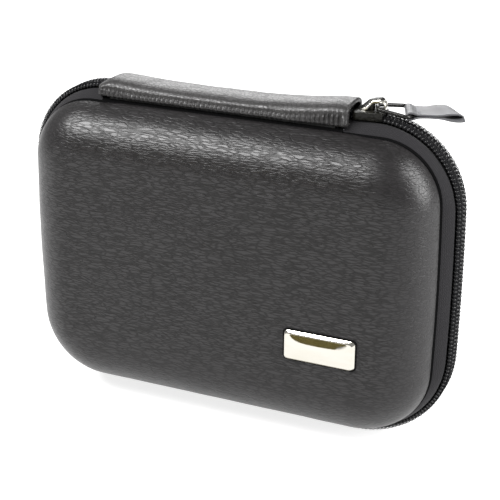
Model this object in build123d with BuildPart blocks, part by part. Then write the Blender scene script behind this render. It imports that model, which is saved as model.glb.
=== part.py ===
"""Zip-up hard case: two moulded shells, a padded spine hinge, a coil zip and its pull.

The case stands on the bottom run of its zip, with +X to the right, the front face
towards -Y and +Z up. The origin is under the middle of the case. Millimetres.
"""

import math
import os

from build123d import *

os.makedirs("parts", exist_ok=True)

# ---------------------------------------------------------------- driving dimensions
# The case as a whole
case_width = 156.0  # across the zip crest at mid height
case_height = 113.0  # from the bottom zip crest to the top one
case_depth = 45.4  # from the front face to the back face
side_bulge = 1.5  # how far each side bows out
zip_corner_radius = 29.5
foot_corner_extra = 4.0  # the bottom corners are this much rounder than the top ones

# The moulded halves
rim_inset = 5.0  # the shells' rims lie this far inside the zip crest
rim_gap = 17.2  # from rim to rim across the zip
rim_corner_radius = 21.0
curve_start = 6.4  # the shells' sides curve in from this far off the zip's plane
skin_thickness = 1.0
shell_thickness = 2.5
lining_thickness = 0.6
binding_thickness = 1.0
binding_gap = 0.1  # from the gusset tape's foot to the binding

# The zip
coil_half_width = 2.7
coil_gap = 1.2  # between the two coil halves
coil_height = 2.2
coil_crown = 1.4  # flat part of a coil half beside the gap
coil_shoulder = 1.2  # drop of a coil half at its outer edge
tape_thickness = 0.8
tape_edge_drop = 1.9  # tape below the crest where it leaves the coil
tape_edge_setback = 0.2  # tape's edge behind the coil's inner face
zip_end_setback = 18.5  # the zip's fixed ends stop this far from the case's sides
zip_end_gap = 0.5  # between a fixed end of the zip and the opening run

# The spine hinge
spine_left_setback = 29.6  # from the case's left side to the spine
spine_right_setback = 38.5
spine_crown = 2.0  # height of the spine over the zip crest
spine_leather_thickness = 1.0
spine_lining_thickness = 0.8
coil_tuck = 3.0  # length of coil hidden under each end of the spine
core_setback = 0.5  # from the tucked coil to the spine's core
hinge_clearance = 0.3  # between pieces that swing past each other

# The slider
slide_clearance = 0.3  # between the slider and the coil that it runs over
slider_gap = 0.8  # from the spine's end to the slider
slider_length = 10.3
slider_half_width = 4.6
slider_plate_thickness = 0.9
slider_flange_thickness = 0.8
slider_flange_drop = 1.5  # flange edge below the zip crest
slider_keel_drop = 4.2  # top of the lower plate below the zip crest
slider_keel_half_width = 3.6
slider_corner_radius = 2.0
neck_thickness = 0.6
neck_length = 3.4
neck_setback = 0.3
bridge_width = 3.2
bridge_thickness = 0.9
bridge_post_length = 1.1
bridge_ramp_run = 6.0
bridge_headroom = 1.15  # over the link's wire
bridge_front_margin = 0.9  # from the plate's front end to the bridge
bridge_rear_margin = 0.3
slider_bevel = 0.4

# The pull
link_wire_radius = 0.65
link_clearance = 0.35
link_length = 10.0
link_near_width = 5.6
link_far_width = 13.8
link_corner_radius = 1.4
pull_yaw = 20.0  # degrees that the pull is turned towards the back
link_dip = 8.0  # degrees that the link points down
strap_width = 10.4
ribbon_thickness = 0.6
strap_loop_clearance = 0.2
strap_layer_gap = 0.2
strap_length = 16.8  # from the link's far bar to the tip
end_loop_length = 6.0
end_loop_height = 4.0
stitch_setback = 3.4  # from the link's far bar to the stitched bar
stitch_width = 0.8
stitch_height = 0.25

# The badge plate
plate_width = 24.0
plate_height = 10.0
plate_thickness = 1.2
plate_corner_radius = 1.4
plate_edge_round = 0.4
plate_side_setback = 39.6  # from the case's right side to the plate's middle
plate_drop = 18.2  # plate's middle below the case's
prong_spacing = 14.0
prong_width = 2.4
prong_thickness = 0.5
prong_foot_length = 2.6
prong_clearance = 0.2
washer_width = 20.0
washer_height = 7.0
washer_thickness = 0.4

# Inside the case
pocket_top_drop = 43.0  # from the zip crest down to the pocket's mouth
pocket_depth = 4.9  # from the lining to the mesh
mesh_thickness = 0.6
hem_height = 8.0
hem_thickness = 1.4
band_height = 24.0
band_thickness = 1.2
band_setback = 1.6  # from the rim to the elastic band

# ---------------------------------------------------------------- derived places
centre_z = case_height / 2
half_width = case_width / 2
half_depth = case_depth / 2
rim_offset = rim_gap / 2
face_radius = half_depth - curve_start  # round from a shell's side to its face
hinge_z = case_height - rim_inset
wall = skin_thickness + shell_thickness + lining_thickness
coil_inner = coil_gap / 2
coil_outer = coil_inner + coil_half_width
zip_end_reach = half_width - zip_end_setback
opening_run_start = zip_end_reach + zip_end_gap
spine_left = spine_left_setback - half_width
spine_right = half_width - spine_right_setback
plate_x = half_width - plate_side_setback
plate_z = centre_z - plate_drop
pocket_top = case_height - pocket_top_drop
far = 2 * (case_width + case_height)  # beyond the whole case

FRONT = 1
BACK = -1


def save(part, name):
    """Label a finished piece and write its STEP file."""
    part.label = name
    export_step(part, f"parts/{name}.step")


# ---------------------------------------------------------------- shared shapes
def half_plane(side, offset=0.0):
    """Plane of the zip at mid height, facing out of the front or the back."""
    plane = Plane((0, 0, centre_z), x_dir=(side, 0, 0), z_dir=(0, -side, 0))
    return plane.offset(offset)


def case_outline(side, offset, inset, radius):
    """The case's outline at one depth, pulled in from the zip crest by an inset."""
    half_w = half_width - side_bulge - inset
    half_h = case_height / 2 - inset
    with BuildSketch(half_plane(side, offset)) as sketch:
        with BuildLine():
            Line((-half_w, half_h), (half_w, half_h))
            ThreePointArc((half_w, half_h), (half_w + side_bulge, 0), (half_w, -half_h))
            Line((half_w, -half_h), (-half_w, -half_h))
            ThreePointArc((-half_w, -half_h), (-half_w - side_bulge, 0), (-half_w, half_h))
        make_face()
        fillet(sketch.vertices().group_by(Axis.Y)[-1], radius)
        fillet(sketch.vertices().group_by(Axis.Y)[0], radius + foot_corner_extra)
    return sketch.sketch


def half_form(side, cover):
    """One half of the case as a solid, pulled in from its leather by a cover."""
    base = case_outline(side, 0, rim_inset + cover, rim_corner_radius - cover)
    with BuildPart() as form:
        extrude(base, amount=half_depth - cover)
        face_edges = form.edges().group_by(Axis.Y)[0 if side == FRONT else -1]
        fillet(face_edges, face_radius - cover)
        split(bisect_by=half_plane(side, rim_offset), keep=Keep.TOP)
    return form.part


def half_layer(side, cover, thickness):
    """A moulded layer of one half, open at the rim."""
    with BuildPart() as layer:
        add(half_form(side, cover))
        add(half_form(side, cover + thickness), mode=Mode.SUBTRACT)
    return layer.part


def cavity_slice(side, offset, thickness, low_z, high_z):
    """A flat sheet across a half's cavity, cut to the lining and between two heights."""
    with BuildPart() as sheet:
        add(half_form(side, wall))
        with BuildSketch(half_plane(side, offset)):
            with Locations((0, (low_z + high_z) / 2 - centre_z)):
                Rectangle(far, high_z - low_z)
        extrude(amount=thickness, mode=Mode.INTERSECT)
    return sheet.part


def zip_outline(side, offset, drop):
    """The zip's outline at one depth, dropped below the crest."""
    return case_outline(side, offset, drop, zip_corner_radius - drop)


def full_coil(side):
    """One half of the coil as a closed ring, flat beside the gap and rounded off outside."""
    crown_end = coil_inner + coil_crown
    with BuildPart() as ring:
        extrude(zip_outline(side, coil_inner, 0), amount=coil_crown)
        loft(sections=[zip_outline(side, crown_end, 0), zip_outline(side, coil_outer, coil_shoulder)],
             ruled=True)
        extrude(zip_outline(side, coil_inner, coil_height), amount=coil_half_width, mode=Mode.SUBTRACT)
    return ring.part


def full_tape(side):
    """One half of the zip tape as a closed ring: a strip under the coil, then the gusset."""
    foot = rim_inset + tape_thickness
    strip_start = coil_inner + tape_edge_setback
    strip_width = coil_outer - strip_start
    with BuildPart() as ring:
        loft(sections=[zip_outline(side, coil_outer, tape_edge_drop),
                       case_outline(side, rim_offset, rim_inset, rim_corner_radius)], ruled=True)
        loft(sections=[zip_outline(side, coil_outer, tape_edge_drop + tape_thickness),
                       case_outline(side, rim_offset, foot, rim_corner_radius - tape_thickness)],
             ruled=True, mode=Mode.SUBTRACT)
        extrude(zip_outline(side, strip_start, coil_height), amount=strip_width)
        extrude(zip_outline(side, strip_start, coil_height + tape_thickness), amount=strip_width,
                mode=Mode.SUBTRACT)
    return ring.part


def opening_run(ring):
    """The part of a zip ring that opens: all of it but the stretch around the spine."""
    with BuildPart() as run:
        add(ring)
        with Locations((0, 0, case_height)):
            Box(2 * opening_run_start, far, case_height, mode=Mode.SUBTRACT)
    return run.part


def zip_end(ring, low_x, high_x):
    """A fixed end of the zip beside the spine, between two places along the top."""
    reach = rim_offset - hinge_clearance
    with BuildPart() as end:
        add(ring)
        with Locations(((low_x + high_x) / 2, 0, case_height)):
            Box(high_x - low_x, 2 * reach, case_height, mode=Mode.INTERSECT)
    return end.part


# ---------------------------------------------------------------- the two halves
prong_depth = skin_thickness + shell_thickness
washer_plane = half_plane(FRONT, half_depth - prong_depth)
plate_plane = half_plane(FRONT, half_depth)
plate_spot = (plate_x, plate_z - centre_z)
prong_spots = [(plate_x + offset, plate_z - centre_z) for offset in (-prong_spacing / 2, prong_spacing / 2)]
washer_recess = washer_thickness + prong_thickness
layer_covers = {
    "skin": (0, skin_thickness),
    "shell": (skin_thickness, shell_thickness),
    "lining": (skin_thickness + shell_thickness, lining_thickness),
}

for side, half in ((FRONT, "lid"), (BACK, "back")):
    for layer_name, (cover, thickness) in layer_covers.items():
        with BuildPart() as layer:
            add(half_layer(side, cover, thickness))
            if side == FRONT and layer_name != "lining":
                with BuildSketch(plate_plane):
                    with Locations(*prong_spots):
                        Rectangle(prong_thickness + 2 * prong_clearance, prong_width + 2 * prong_clearance)
                extrude(amount=-prong_depth, mode=Mode.SUBTRACT)
            if side == FRONT and layer_name == "shell":
                with BuildSketch(washer_plane):
                    with Locations(plate_spot):
                        Rectangle(washer_width + 2 * prong_clearance, washer_height + 2 * prong_clearance)
                extrude(amount=washer_recess, mode=Mode.SUBTRACT)
        save(layer.part, f"{half}_{layer_name}")

    with BuildPart() as binding:
        edge = tape_thickness + binding_gap
        inner = case_outline(side, rim_offset, rim_inset + wall, rim_corner_radius - wall)
        outer = case_outline(side, rim_offset, rim_inset + edge, rim_corner_radius - edge)
        extrude(outer, amount=-binding_thickness)
        extrude(inner, amount=-binding_thickness, mode=Mode.SUBTRACT)
    save(binding.part, f"{half}_binding")

    save(opening_run(full_coil(side)), f"{half}_zip_coil")
    save(opening_run(full_tape(side)), f"{half}_zip_tape")

# ---------------------------------------------------------------- the badge plate
with BuildPart() as badge_plate:
    with BuildSketch(plate_plane):
        with Locations(plate_spot):
            RectangleRounded(plate_width, plate_height, plate_corner_radius)
    extrude(amount=plate_thickness)
    fillet(badge_plate.edges().group_by(Axis.Y)[0], plate_edge_round)
    with BuildSketch(plate_plane):
        with Locations(*prong_spots):
            Rectangle(prong_thickness, prong_width)
    extrude(amount=-(prong_depth - washer_recess + washer_thickness))
    foot_plane = half_plane(FRONT, half_depth - prong_depth + washer_recess - washer_thickness)
    with BuildSketch(foot_plane):
        for direction, spot in zip((-1, 1), prong_spots):
            with Locations((spot[0] - direction * (prong_foot_length - prong_thickness) / 2, spot[1])):
                Rectangle(prong_foot_length, prong_width)
    extrude(amount=-prong_thickness)
save(badge_plate.part, "badge_plate")

with BuildPart() as plate_washer:
    with BuildSketch(half_plane(FRONT, half_depth - prong_depth + washer_recess)):
        with Locations(plate_spot):
            Rectangle(washer_width, washer_height)
        with Locations(*prong_spots):
            Rectangle(prong_thickness + 2 * prong_clearance, prong_width + 2 * prong_clearance,
                      mode=Mode.SUBTRACT)
    extrude(amount=-washer_thickness)
save(plate_washer.part, "plate_washer")

# ---------------------------------------------------------------- inside the case
lining_face = half_depth - wall
mesh_offset = lining_face - pocket_depth - mesh_thickness
hem_offset = mesh_offset + (mesh_thickness - hem_thickness) / 2
hem_low = pocket_top - hem_height
save(cavity_slice(FRONT, mesh_offset, mesh_thickness, 0, hem_low), "pocket_mesh")
save(cavity_slice(FRONT, hem_offset, hem_thickness, hem_low, pocket_top), "pocket_hem")

band_offset = rim_offset + band_setback
band_low = centre_z - band_height / 2
band_high = centre_z + band_height / 2
save(cavity_slice(BACK, band_offset, band_thickness, band_low, band_high), "elastic_band")

# ---------------------------------------------------------------- the spine
arch_reach = rim_offset - hinge_clearance
arch_rise = rim_inset + spine_crown
arch_inner_reach = arch_reach - spine_leather_thickness
arch_inner_rise = arch_rise - spine_leather_thickness
core_left = spine_left + coil_tuck + core_setback
core_right = spine_right - coil_tuck - core_setback
lining_top = hinge_z + spine_lining_thickness


def arch_profile(start_x, reach, rise, floor_z):
    """Upper part of an ellipse across the spine, above a floor."""
    with BuildSketch(Plane.YZ.offset(start_x)) as profile:
        with Locations((0, hinge_z)):
            Ellipse(reach, rise)
        with Locations((0, floor_z)):
            Rectangle(far, far, align=(Align.CENTER, Align.MIN), mode=Mode.INTERSECT)
    return profile.sketch


with BuildPart() as spine_leather:
    extrude(arch_profile(spine_left, arch_reach, arch_rise, hinge_z), amount=spine_right - spine_left)
    extrude(arch_profile(spine_left, arch_inner_reach, arch_inner_rise, hinge_z),
            amount=spine_right - spine_left, mode=Mode.SUBTRACT)
save(spine_leather.part, "spine_leather")

with BuildPart() as spine_core:
    extrude(arch_profile(core_left, arch_inner_reach, arch_inner_rise, lining_top),
            amount=core_right - core_left)
save(spine_core.part, "spine_core")

with BuildPart() as spine_lining:
    extrude(arch_profile(spine_left, arch_inner_reach, arch_inner_rise, hinge_z),
            amount=spine_right - spine_left)
    with Locations((0, 0, lining_top)):
        Box(far, far, far, align=(Align.CENTER, Align.CENTER, Align.MIN), mode=Mode.SUBTRACT)
save(spine_lining.part, "spine_lining")

for side, half in ((FRONT, "front"), (BACK, "back")):
    coil = full_coil(side)
    tape = full_tape(side)
    save(zip_end(coil, spine_right - coil_tuck, zip_end_reach), f"zip_end_coil_{half}_right")
    save(zip_end(coil, -zip_end_reach, spine_left + coil_tuck), f"zip_end_coil_{half}_left")
    save(zip_end(tape, spine_right, zip_end_reach), f"zip_end_tape_{half}_right")
    save(zip_end(tape, -zip_end_reach, spine_left), f"zip_end_tape_{half}_left")

# ---------------------------------------------------------------- the slider
slider_left = spine_right + slider_gap
slider_right = slider_left + slider_length
slider_x = (slider_left + slider_right) / 2
slider_plate_low = case_height + slide_clearance
slider_plate_top = slider_plate_low + slider_plate_thickness
flange_low = case_height - slider_flange_drop
keel_top = case_height - slider_keel_drop

with BuildPart() as slider_body:
    with BuildSketch(Plane.XY.offset(flange_low)):
        with Locations((slider_x, 0)):
            RectangleRounded(slider_length, 2 * slider_half_width, slider_corner_radius)
    extrude(amount=slider_plate_top - flange_low)
    chamfer(slider_body.edges().group_by(Axis.Z)[-1], slider_bevel)
    with BuildSketch(Plane.XY.offset(flange_low)):
        Rectangle(far, 2 * (slider_half_width - slider_flange_thickness))
    extrude(amount=slider_plate_low - flange_low, mode=Mode.SUBTRACT)
    with BuildSketch(Plane.XY.offset(keel_top)):
        with Locations((slider_x, 0)):
            RectangleRounded(slider_length, 2 * slider_keel_half_width, slider_corner_radius)
    extrude(amount=-slider_plate_thickness)
    with BuildSketch(Plane.XY.offset(keel_top)):
        with Locations((slider_left + neck_setback, 0)):
            Rectangle(neck_length, neck_thickness, align=(Align.MIN, Align.CENTER))
    extrude(amount=slider_plate_low - keel_top)
save(slider_body.part, "slider_body")

yaw = math.radians(pull_yaw)
dip = math.radians(link_dip)
pivot_z = slider_plate_top + link_clearance + link_wire_radius
bridge_inside = pivot_z + link_wire_radius + bridge_headroom
bridge_top = bridge_inside + bridge_thickness
bridge_left = slider_left + bridge_front_margin
bridge_right = slider_right - bridge_rear_margin
post_left = bridge_right - bridge_post_length
ramp_angle = math.atan2(bridge_top - slider_plate_top, bridge_ramp_run)
ramp_foot = bridge_thickness / math.sin(ramp_angle)
ramp_inner_top = bridge_left + ramp_foot + (bridge_inside - slider_plate_top) / math.tan(ramp_angle)

with BuildPart() as slider_bridge:
    with BuildSketch(Plane.XZ):
        with BuildLine():
            Polyline(
                (bridge_left, slider_plate_top),
                (bridge_left + bridge_ramp_run, bridge_top),
                (bridge_right, bridge_top),
                (bridge_right, slider_plate_top),
                (post_left, slider_plate_top),
                (post_left, bridge_inside),
                (ramp_inner_top, bridge_inside),
                (bridge_left + ramp_foot, slider_plate_top),
                close=True,
            )
        make_face()
    extrude(amount=bridge_width / 2, both=True)
save(slider_bridge.part, "slider_bridge")

# ---------------------------------------------------------------- the pull
wire_reach = link_wire_radius / math.cos(yaw) + bridge_width / 2 * math.tan(yaw)
pivot_x = post_left - link_clearance - wire_reach
link_direction = Vector(math.cos(dip) * math.cos(yaw), math.cos(dip) * math.sin(yaw), -math.sin(dip))
bar_direction = Vector(-math.sin(yaw), math.cos(yaw), 0)
link_plane = Plane((pivot_x, 0, pivot_z), x_dir=link_direction, z_dir=link_direction.cross(bar_direction))
far_bar = link_plane.from_local_coords(Vector(link_length, 0, 0))

with BuildPart() as pull_link:
    with BuildLine(link_plane) as ring_path:
        Polyline(
            (0, -link_near_width / 2),
            (link_length, -link_far_width / 2),
            (link_length, link_far_width / 2),
            (0, link_near_width / 2),
            close=True,
        )
        fillet(ring_path.vertices(), link_corner_radius)
    start = ring_path.wire() @ 0
    tangent = ring_path.wire() % 0
    with BuildSketch(Plane(start, z_dir=tangent)):
        Circle(link_wire_radius)
    sweep(path=ring_path.wire())
save(pull_link.part, "pull_link")

strap_plane = Plane(far_bar, x_dir=(math.cos(yaw), math.sin(yaw), 0), z_dir=(math.sin(yaw), -math.cos(yaw), 0))
loop_bore = link_wire_radius + strap_loop_clearance
loop_outer = loop_bore + ribbon_thickness
layers = 2 * ribbon_thickness + strap_layer_gap
end_loop_centre = strap_length - end_loop_length / 2
end_bore_length = end_loop_length - 2 * ribbon_thickness
end_bore_height = end_loop_height - 2 * ribbon_thickness

with BuildPart() as pull_strap:
    with BuildSketch(strap_plane):
        Circle(loop_outer)
        Rectangle(end_loop_centre, layers, align=(Align.MIN, Align.CENTER))
        with Locations((end_loop_centre, 0)):
            Ellipse(end_loop_length / 2, end_loop_height / 2)
            Ellipse(end_bore_length / 2, end_bore_height / 2, mode=Mode.SUBTRACT)
        Circle(loop_bore, mode=Mode.SUBTRACT)
    extrude(amount=strap_width / 2, both=True)
save(pull_strap.part, "pull_strap")

with BuildPart() as strap_stitches:
    with BuildSketch(strap_plane):
        with Locations((stitch_setback, layers / 2), (stitch_setback, -layers / 2 - stitch_height)):
            Rectangle(stitch_width, stitch_height, align=(Align.CENTER, Align.MIN))
    extrude(amount=strap_width / 2 - ribbon_thickness, both=True)
save(strap_stitches.part, "strap_stitches")
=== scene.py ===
"""A zip-up hard case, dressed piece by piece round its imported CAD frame.

Sizes in the classes are millimetres in the part's own frame; meshes are made in metres.
"""

import logging
import math
from dataclasses import dataclass, field
from enum import Enum

import bmesh
import bpy
import numpy as np
from mathutils import Matrix, Vector, noise


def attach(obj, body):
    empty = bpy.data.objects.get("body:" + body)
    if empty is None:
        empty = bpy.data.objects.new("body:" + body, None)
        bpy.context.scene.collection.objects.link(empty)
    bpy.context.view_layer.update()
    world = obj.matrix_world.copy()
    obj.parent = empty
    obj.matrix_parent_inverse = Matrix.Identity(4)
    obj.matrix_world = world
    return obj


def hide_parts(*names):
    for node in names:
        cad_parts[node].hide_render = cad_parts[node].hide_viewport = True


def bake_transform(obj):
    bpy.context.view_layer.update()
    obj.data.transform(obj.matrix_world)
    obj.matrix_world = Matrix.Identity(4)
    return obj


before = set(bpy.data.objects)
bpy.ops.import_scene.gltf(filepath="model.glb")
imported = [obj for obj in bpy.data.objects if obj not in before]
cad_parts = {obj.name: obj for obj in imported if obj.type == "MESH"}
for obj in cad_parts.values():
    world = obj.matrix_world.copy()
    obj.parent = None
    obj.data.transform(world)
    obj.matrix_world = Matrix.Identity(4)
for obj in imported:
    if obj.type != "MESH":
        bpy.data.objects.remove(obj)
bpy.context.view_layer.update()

Tree, Node, Socket = bpy.types.NodeTree, bpy.types.Node, bpy.types.NodeSocket
Piece = bpy.types.Object

MM = 0.001  # metres in a millimetre
FULL_TURN = 2 * math.pi
log = logging.getLogger("hard_case")


class Side(Enum):
    """The two halves of the case, by the sign of Y that they lie on."""

    FRONT = -1
    BACK = 1


class End(Enum):
    """The two ends of the spine, by the sign of X that they lie on."""

    LEFT = -1
    RIGHT = 1


# ---------------------------------------------------------------- nodes and colours
def linear(hex_colour: str) -> tuple[float, float, float, float]:
    """Turn an sRGB hex colour into the linear colour that a shader takes.

    Args:
        hex_colour: Six hex digits after a hash.

    Returns:
        Red, green, blue and an alpha of one.
    """
    shares = [int(hex_colour[i : i + 2], 16) / 255 for i in (1, 3, 5)]
    curve = [s / 12.92 if s <= 0.04045 else ((s + 0.055) / 1.055) ** 2.4 for s in shares]
    return (*curve, 1.0)


def sized(size_mm: float) -> float:
    """Return the texture scale at which one cell is this many millimetres wide."""
    return 1 / (size_mm * MM)


def empty_material(name: str) -> bpy.types.Material:
    """Add a material that has no nodes yet.

    Args:
        name: The real material and how it was made.

    Returns:
        The new material.
    """
    made = bpy.data.materials.new(name)
    made.use_nodes = True
    made.node_tree.nodes.clear()
    return made


def add_node(tree: Tree, kind: str, inputs: dict[str | int, object] | None = None,
             **settings: object) -> Node:
    """Add one node with its settings, values and links.

    Args:
        tree: The node tree that it goes into.
        kind: The node's Blender type.
        inputs: Socket name or number to a value, or to the output that feeds it.
        **settings: The node's own properties.

    Returns:
        The new node.
    """
    node = tree.nodes.new(kind)
    for name, value in settings.items():
        setattr(node, name, value)
    for key, value in (inputs or {}).items():
        if isinstance(value, Socket):
            tree.links.new(value, node.inputs[key])
        else:
            node.inputs[key].default_value = value
    return node


# ---------------------------------------------------------------- finishes
@dataclass(frozen=True)
class Finish:
    """A real material and the way its surface was made."""

    name: str
    slot: str
    colour: str
    roughness: float
    metallic: float = 0.0

    def detail(self, tree: Tree, shader: Node, spot: Socket) -> None:
        """Add the pattern and relief of this finish to its shader.

        Args:
            tree: The material's nodes.
            shader: The Principled shader.
            spot: The place on the piece, in metres.
        """

    def material(self) -> bpy.types.Material:
        """Make the Blender material of this finish, on first use.

        Returns:
            The material that all pieces of this finish share.
        """
        known = bpy.data.materials.get(self.name)
        if known:
            return known
        made = empty_material(self.name)
        tree = made.node_tree
        shader = add_node(tree, "ShaderNodeBsdfPrincipled", {
            "Base Color": linear(self.colour), "Roughness": self.roughness, "Metallic": self.metallic})
        add_node(tree, "ShaderNodeOutputMaterial", {"Surface": shader.outputs["BSDF"]})
        spot = add_node(tree, "ShaderNodeTexCoord").outputs["Object"]
        self.detail(tree, shader, spot)
        return made


@dataclass(frozen=True)
class GrainedLeatherette(Finish):
    """Polyurethane leatherette, embossed with a long pebble grain and pressed over foam.

    The long shallow cells break the sheen into flecks, and the creases between them stay dull.
    """

    crease_colour: str = "#131212"
    cell_mm: tuple[float, float, float] = (4.5, 1.6, 0.85)  # along the case, through it, up it
    fold_mm: tuple[float, float, float] = (10.0, 4.0, 2.0)  # spacing of the wandering folds
    relief_mm: float = 0.048
    wander_mm: float = 0.85  # how far the creases stray from a regular grain
    drift_mm: float = 4.5455  # over this distance
    pore_mm: float = 0.19231
    patch_mm: float = 10.526  # size of the patches where the grain is deeper
    flank_mm: tuple[float, float] = (54.0, 72.0)  # pulled flat from here outwards, along the case
    foot_mm: tuple[float, float] = (6.0, 34.0)  # and from the second of these downwards
    flattened: float = 0.35  # share of the grain that is left there
    crease_gloss: tuple[float, float] = (0.22, 0.44)  # in the creases and on the pebbles

    def pebbles(self, tree: Tree, spot: Socket) -> Socket:
        """Draw the embossed cells.

        Args:
            tree: The material's nodes.
            spot: The place on the piece, a little strayed.

        Returns:
            0 in the creases to 1 on top of the pebbles.
        """
        cells = add_node(tree, "ShaderNodeMapping", {
            "Vector": spot, "Scale": [sized(v) for v in self.cell_mm]})
        edges = add_node(tree, "ShaderNodeTexVoronoi", {"Vector": cells.outputs[0], "Scale": 1.0},
                         feature="DISTANCE_TO_EDGE")
        return add_node(tree, "ShaderNodeMapRange", {"Value": edges.outputs["Distance"], "From Max": 0.21},
                        interpolation_type="SMOOTHSTEP").outputs[0]

    def folds(self, tree: Tree, spot: Socket) -> Socket:
        """Draw the longer folds that wander across the cells.

        Args:
            tree: The material's nodes.
            spot: The place on the piece, a little strayed.

        Returns:
            0 in the folds to 0.8 between them.
        """
        long = add_node(tree, "ShaderNodeMapping", {
            "Vector": spot, "Scale": [sized(v) for v in self.fold_mm]})
        waves = add_node(tree, "ShaderNodeTexNoise", {"Vector": long.outputs[0], "Scale": 1.0, "Detail": 2.0})
        level = add_node(tree, "ShaderNodeMath", {0: waves.outputs["Fac"], 1: 0.5}, operation="SUBTRACT")
        away = add_node(tree, "ShaderNodeMath", {0: level.outputs[0]}, operation="ABSOLUTE")
        return add_node(tree, "ShaderNodeMapRange", {
            "Value": away.outputs[0], "From Max": 0.035, "To Max": 0.8},
            interpolation_type="SMOOTHSTEP").outputs[0]

    def slack(self, tree: Tree, spot: Socket) -> Socket:
        """Say where the leatherette is pulled flat over the mould's flanks and foot.

        Args:
            tree: The material's nodes.
            spot: The place on the piece.

        Returns:
            The share of the grain that is left.
        """
        where = add_node(tree, "ShaderNodeSeparateXYZ", {"Vector": spot})
        aside = add_node(tree, "ShaderNodeMath", {0: where.outputs["X"]}, operation="ABSOLUTE")
        flank = add_node(tree, "ShaderNodeMapRange", {
            "Value": aside.outputs[0], "From Min": self.flank_mm[0] * MM, "From Max": self.flank_mm[1] * MM,
            "To Min": 1.0, "To Max": self.flattened}, interpolation_type="SMOOTHSTEP")
        foot = add_node(tree, "ShaderNodeMapRange", {
            "Value": where.outputs["Z"], "From Min": self.foot_mm[0] * MM, "From Max": self.foot_mm[1] * MM,
            "To Min": self.flattened, "To Max": 1.0}, interpolation_type="SMOOTHSTEP")
        return add_node(tree, "ShaderNodeMath", {0: flank.outputs[0], 1: foot.outputs[0]},
                        operation="MULTIPLY").outputs[0]

    def detail(self, tree: Tree, shader: Node, spot: Socket) -> None:
        """Add the cells, the folds across them and the pores, as relief, colour and gloss.

        Args:
            tree: The material's nodes.
            shader: The Principled shader.
            spot: The place on the piece, in metres.
        """
        drift = add_node(tree, "ShaderNodeTexNoise", {
            "Vector": spot, "Scale": sized(self.drift_mm), "Detail": 2.0})
        strayed = add_node(tree, "ShaderNodeVectorMath", {
            0: drift.outputs["Color"], 1: (self.wander_mm * MM,) * 3, 2: spot}, operation="MULTIPLY_ADD")
        pebbles = self.pebbles(tree, strayed.outputs[0])
        folds = self.folds(tree, strayed.outputs[0])
        slack = self.slack(tree, spot)
        pores = add_node(tree, "ShaderNodeTexNoise", {
            "Vector": spot, "Scale": sized(self.pore_mm), "Detail": 2.0})
        worked = add_node(tree, "ShaderNodeMath", {0: pores.outputs["Fac"], 1: 0.12, 2: folds},
                          operation="MULTIPLY_ADD")
        patches = add_node(tree, "ShaderNodeTexNoise", {
            "Vector": spot, "Scale": sized(self.patch_mm), "Detail": 3.0})
        depth = add_node(tree, "ShaderNodeMapRange", {
            "Value": patches.outputs["Fac"], "From Min": 0.3, "From Max": 0.7, "To Min": 0.35, "To Max": 1.1})
        drawn = add_node(tree, "ShaderNodeMath", {0: depth.outputs[0], 1: slack}, operation="MULTIPLY")
        height = add_node(tree, "ShaderNodeMath", {0: pebbles, 1: drawn.outputs[0], 2: worked.outputs[0]},
                          operation="MULTIPLY_ADD")
        bump = add_node(tree, "ShaderNodeBump", {
            "Strength": 1.0, "Distance": self.relief_mm * MM, "Height": height.outputs[0]})
        tree.links.new(bump.outputs["Normal"], shader.inputs["Normal"])
        tops = add_node(tree, "ShaderNodeMath", {0: pebbles, 1: folds, 2: 0.1}, operation="MULTIPLY_ADD")
        raised = add_node(tree, "ShaderNodeMix", {0: slack, 2: 0.85, 3: tops.outputs[0]})
        colour = add_node(tree, "ShaderNodeMix", {
            0: raised.outputs[0], 6: linear(self.crease_colour), 7: linear(self.colour)}, data_type="RGBA")
        tree.links.new(colour.outputs[2], shader.inputs["Base Color"])
        dull = add_node(tree, "ShaderNodeMapRange", {
            "Value": raised.outputs[0], "To Min": self.roughness + 0.1, "To Max": self.roughness})
        tree.links.new(dull.outputs[0], shader.inputs["Roughness"])
        shade = add_node(tree, "ShaderNodeMapRange", {
            "Value": raised.outputs[0], "To Min": self.crease_gloss[0], "To Max": self.crease_gloss[1]})
        tree.links.new(shade.outputs[0], shader.inputs["Specular IOR Level"])


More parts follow.
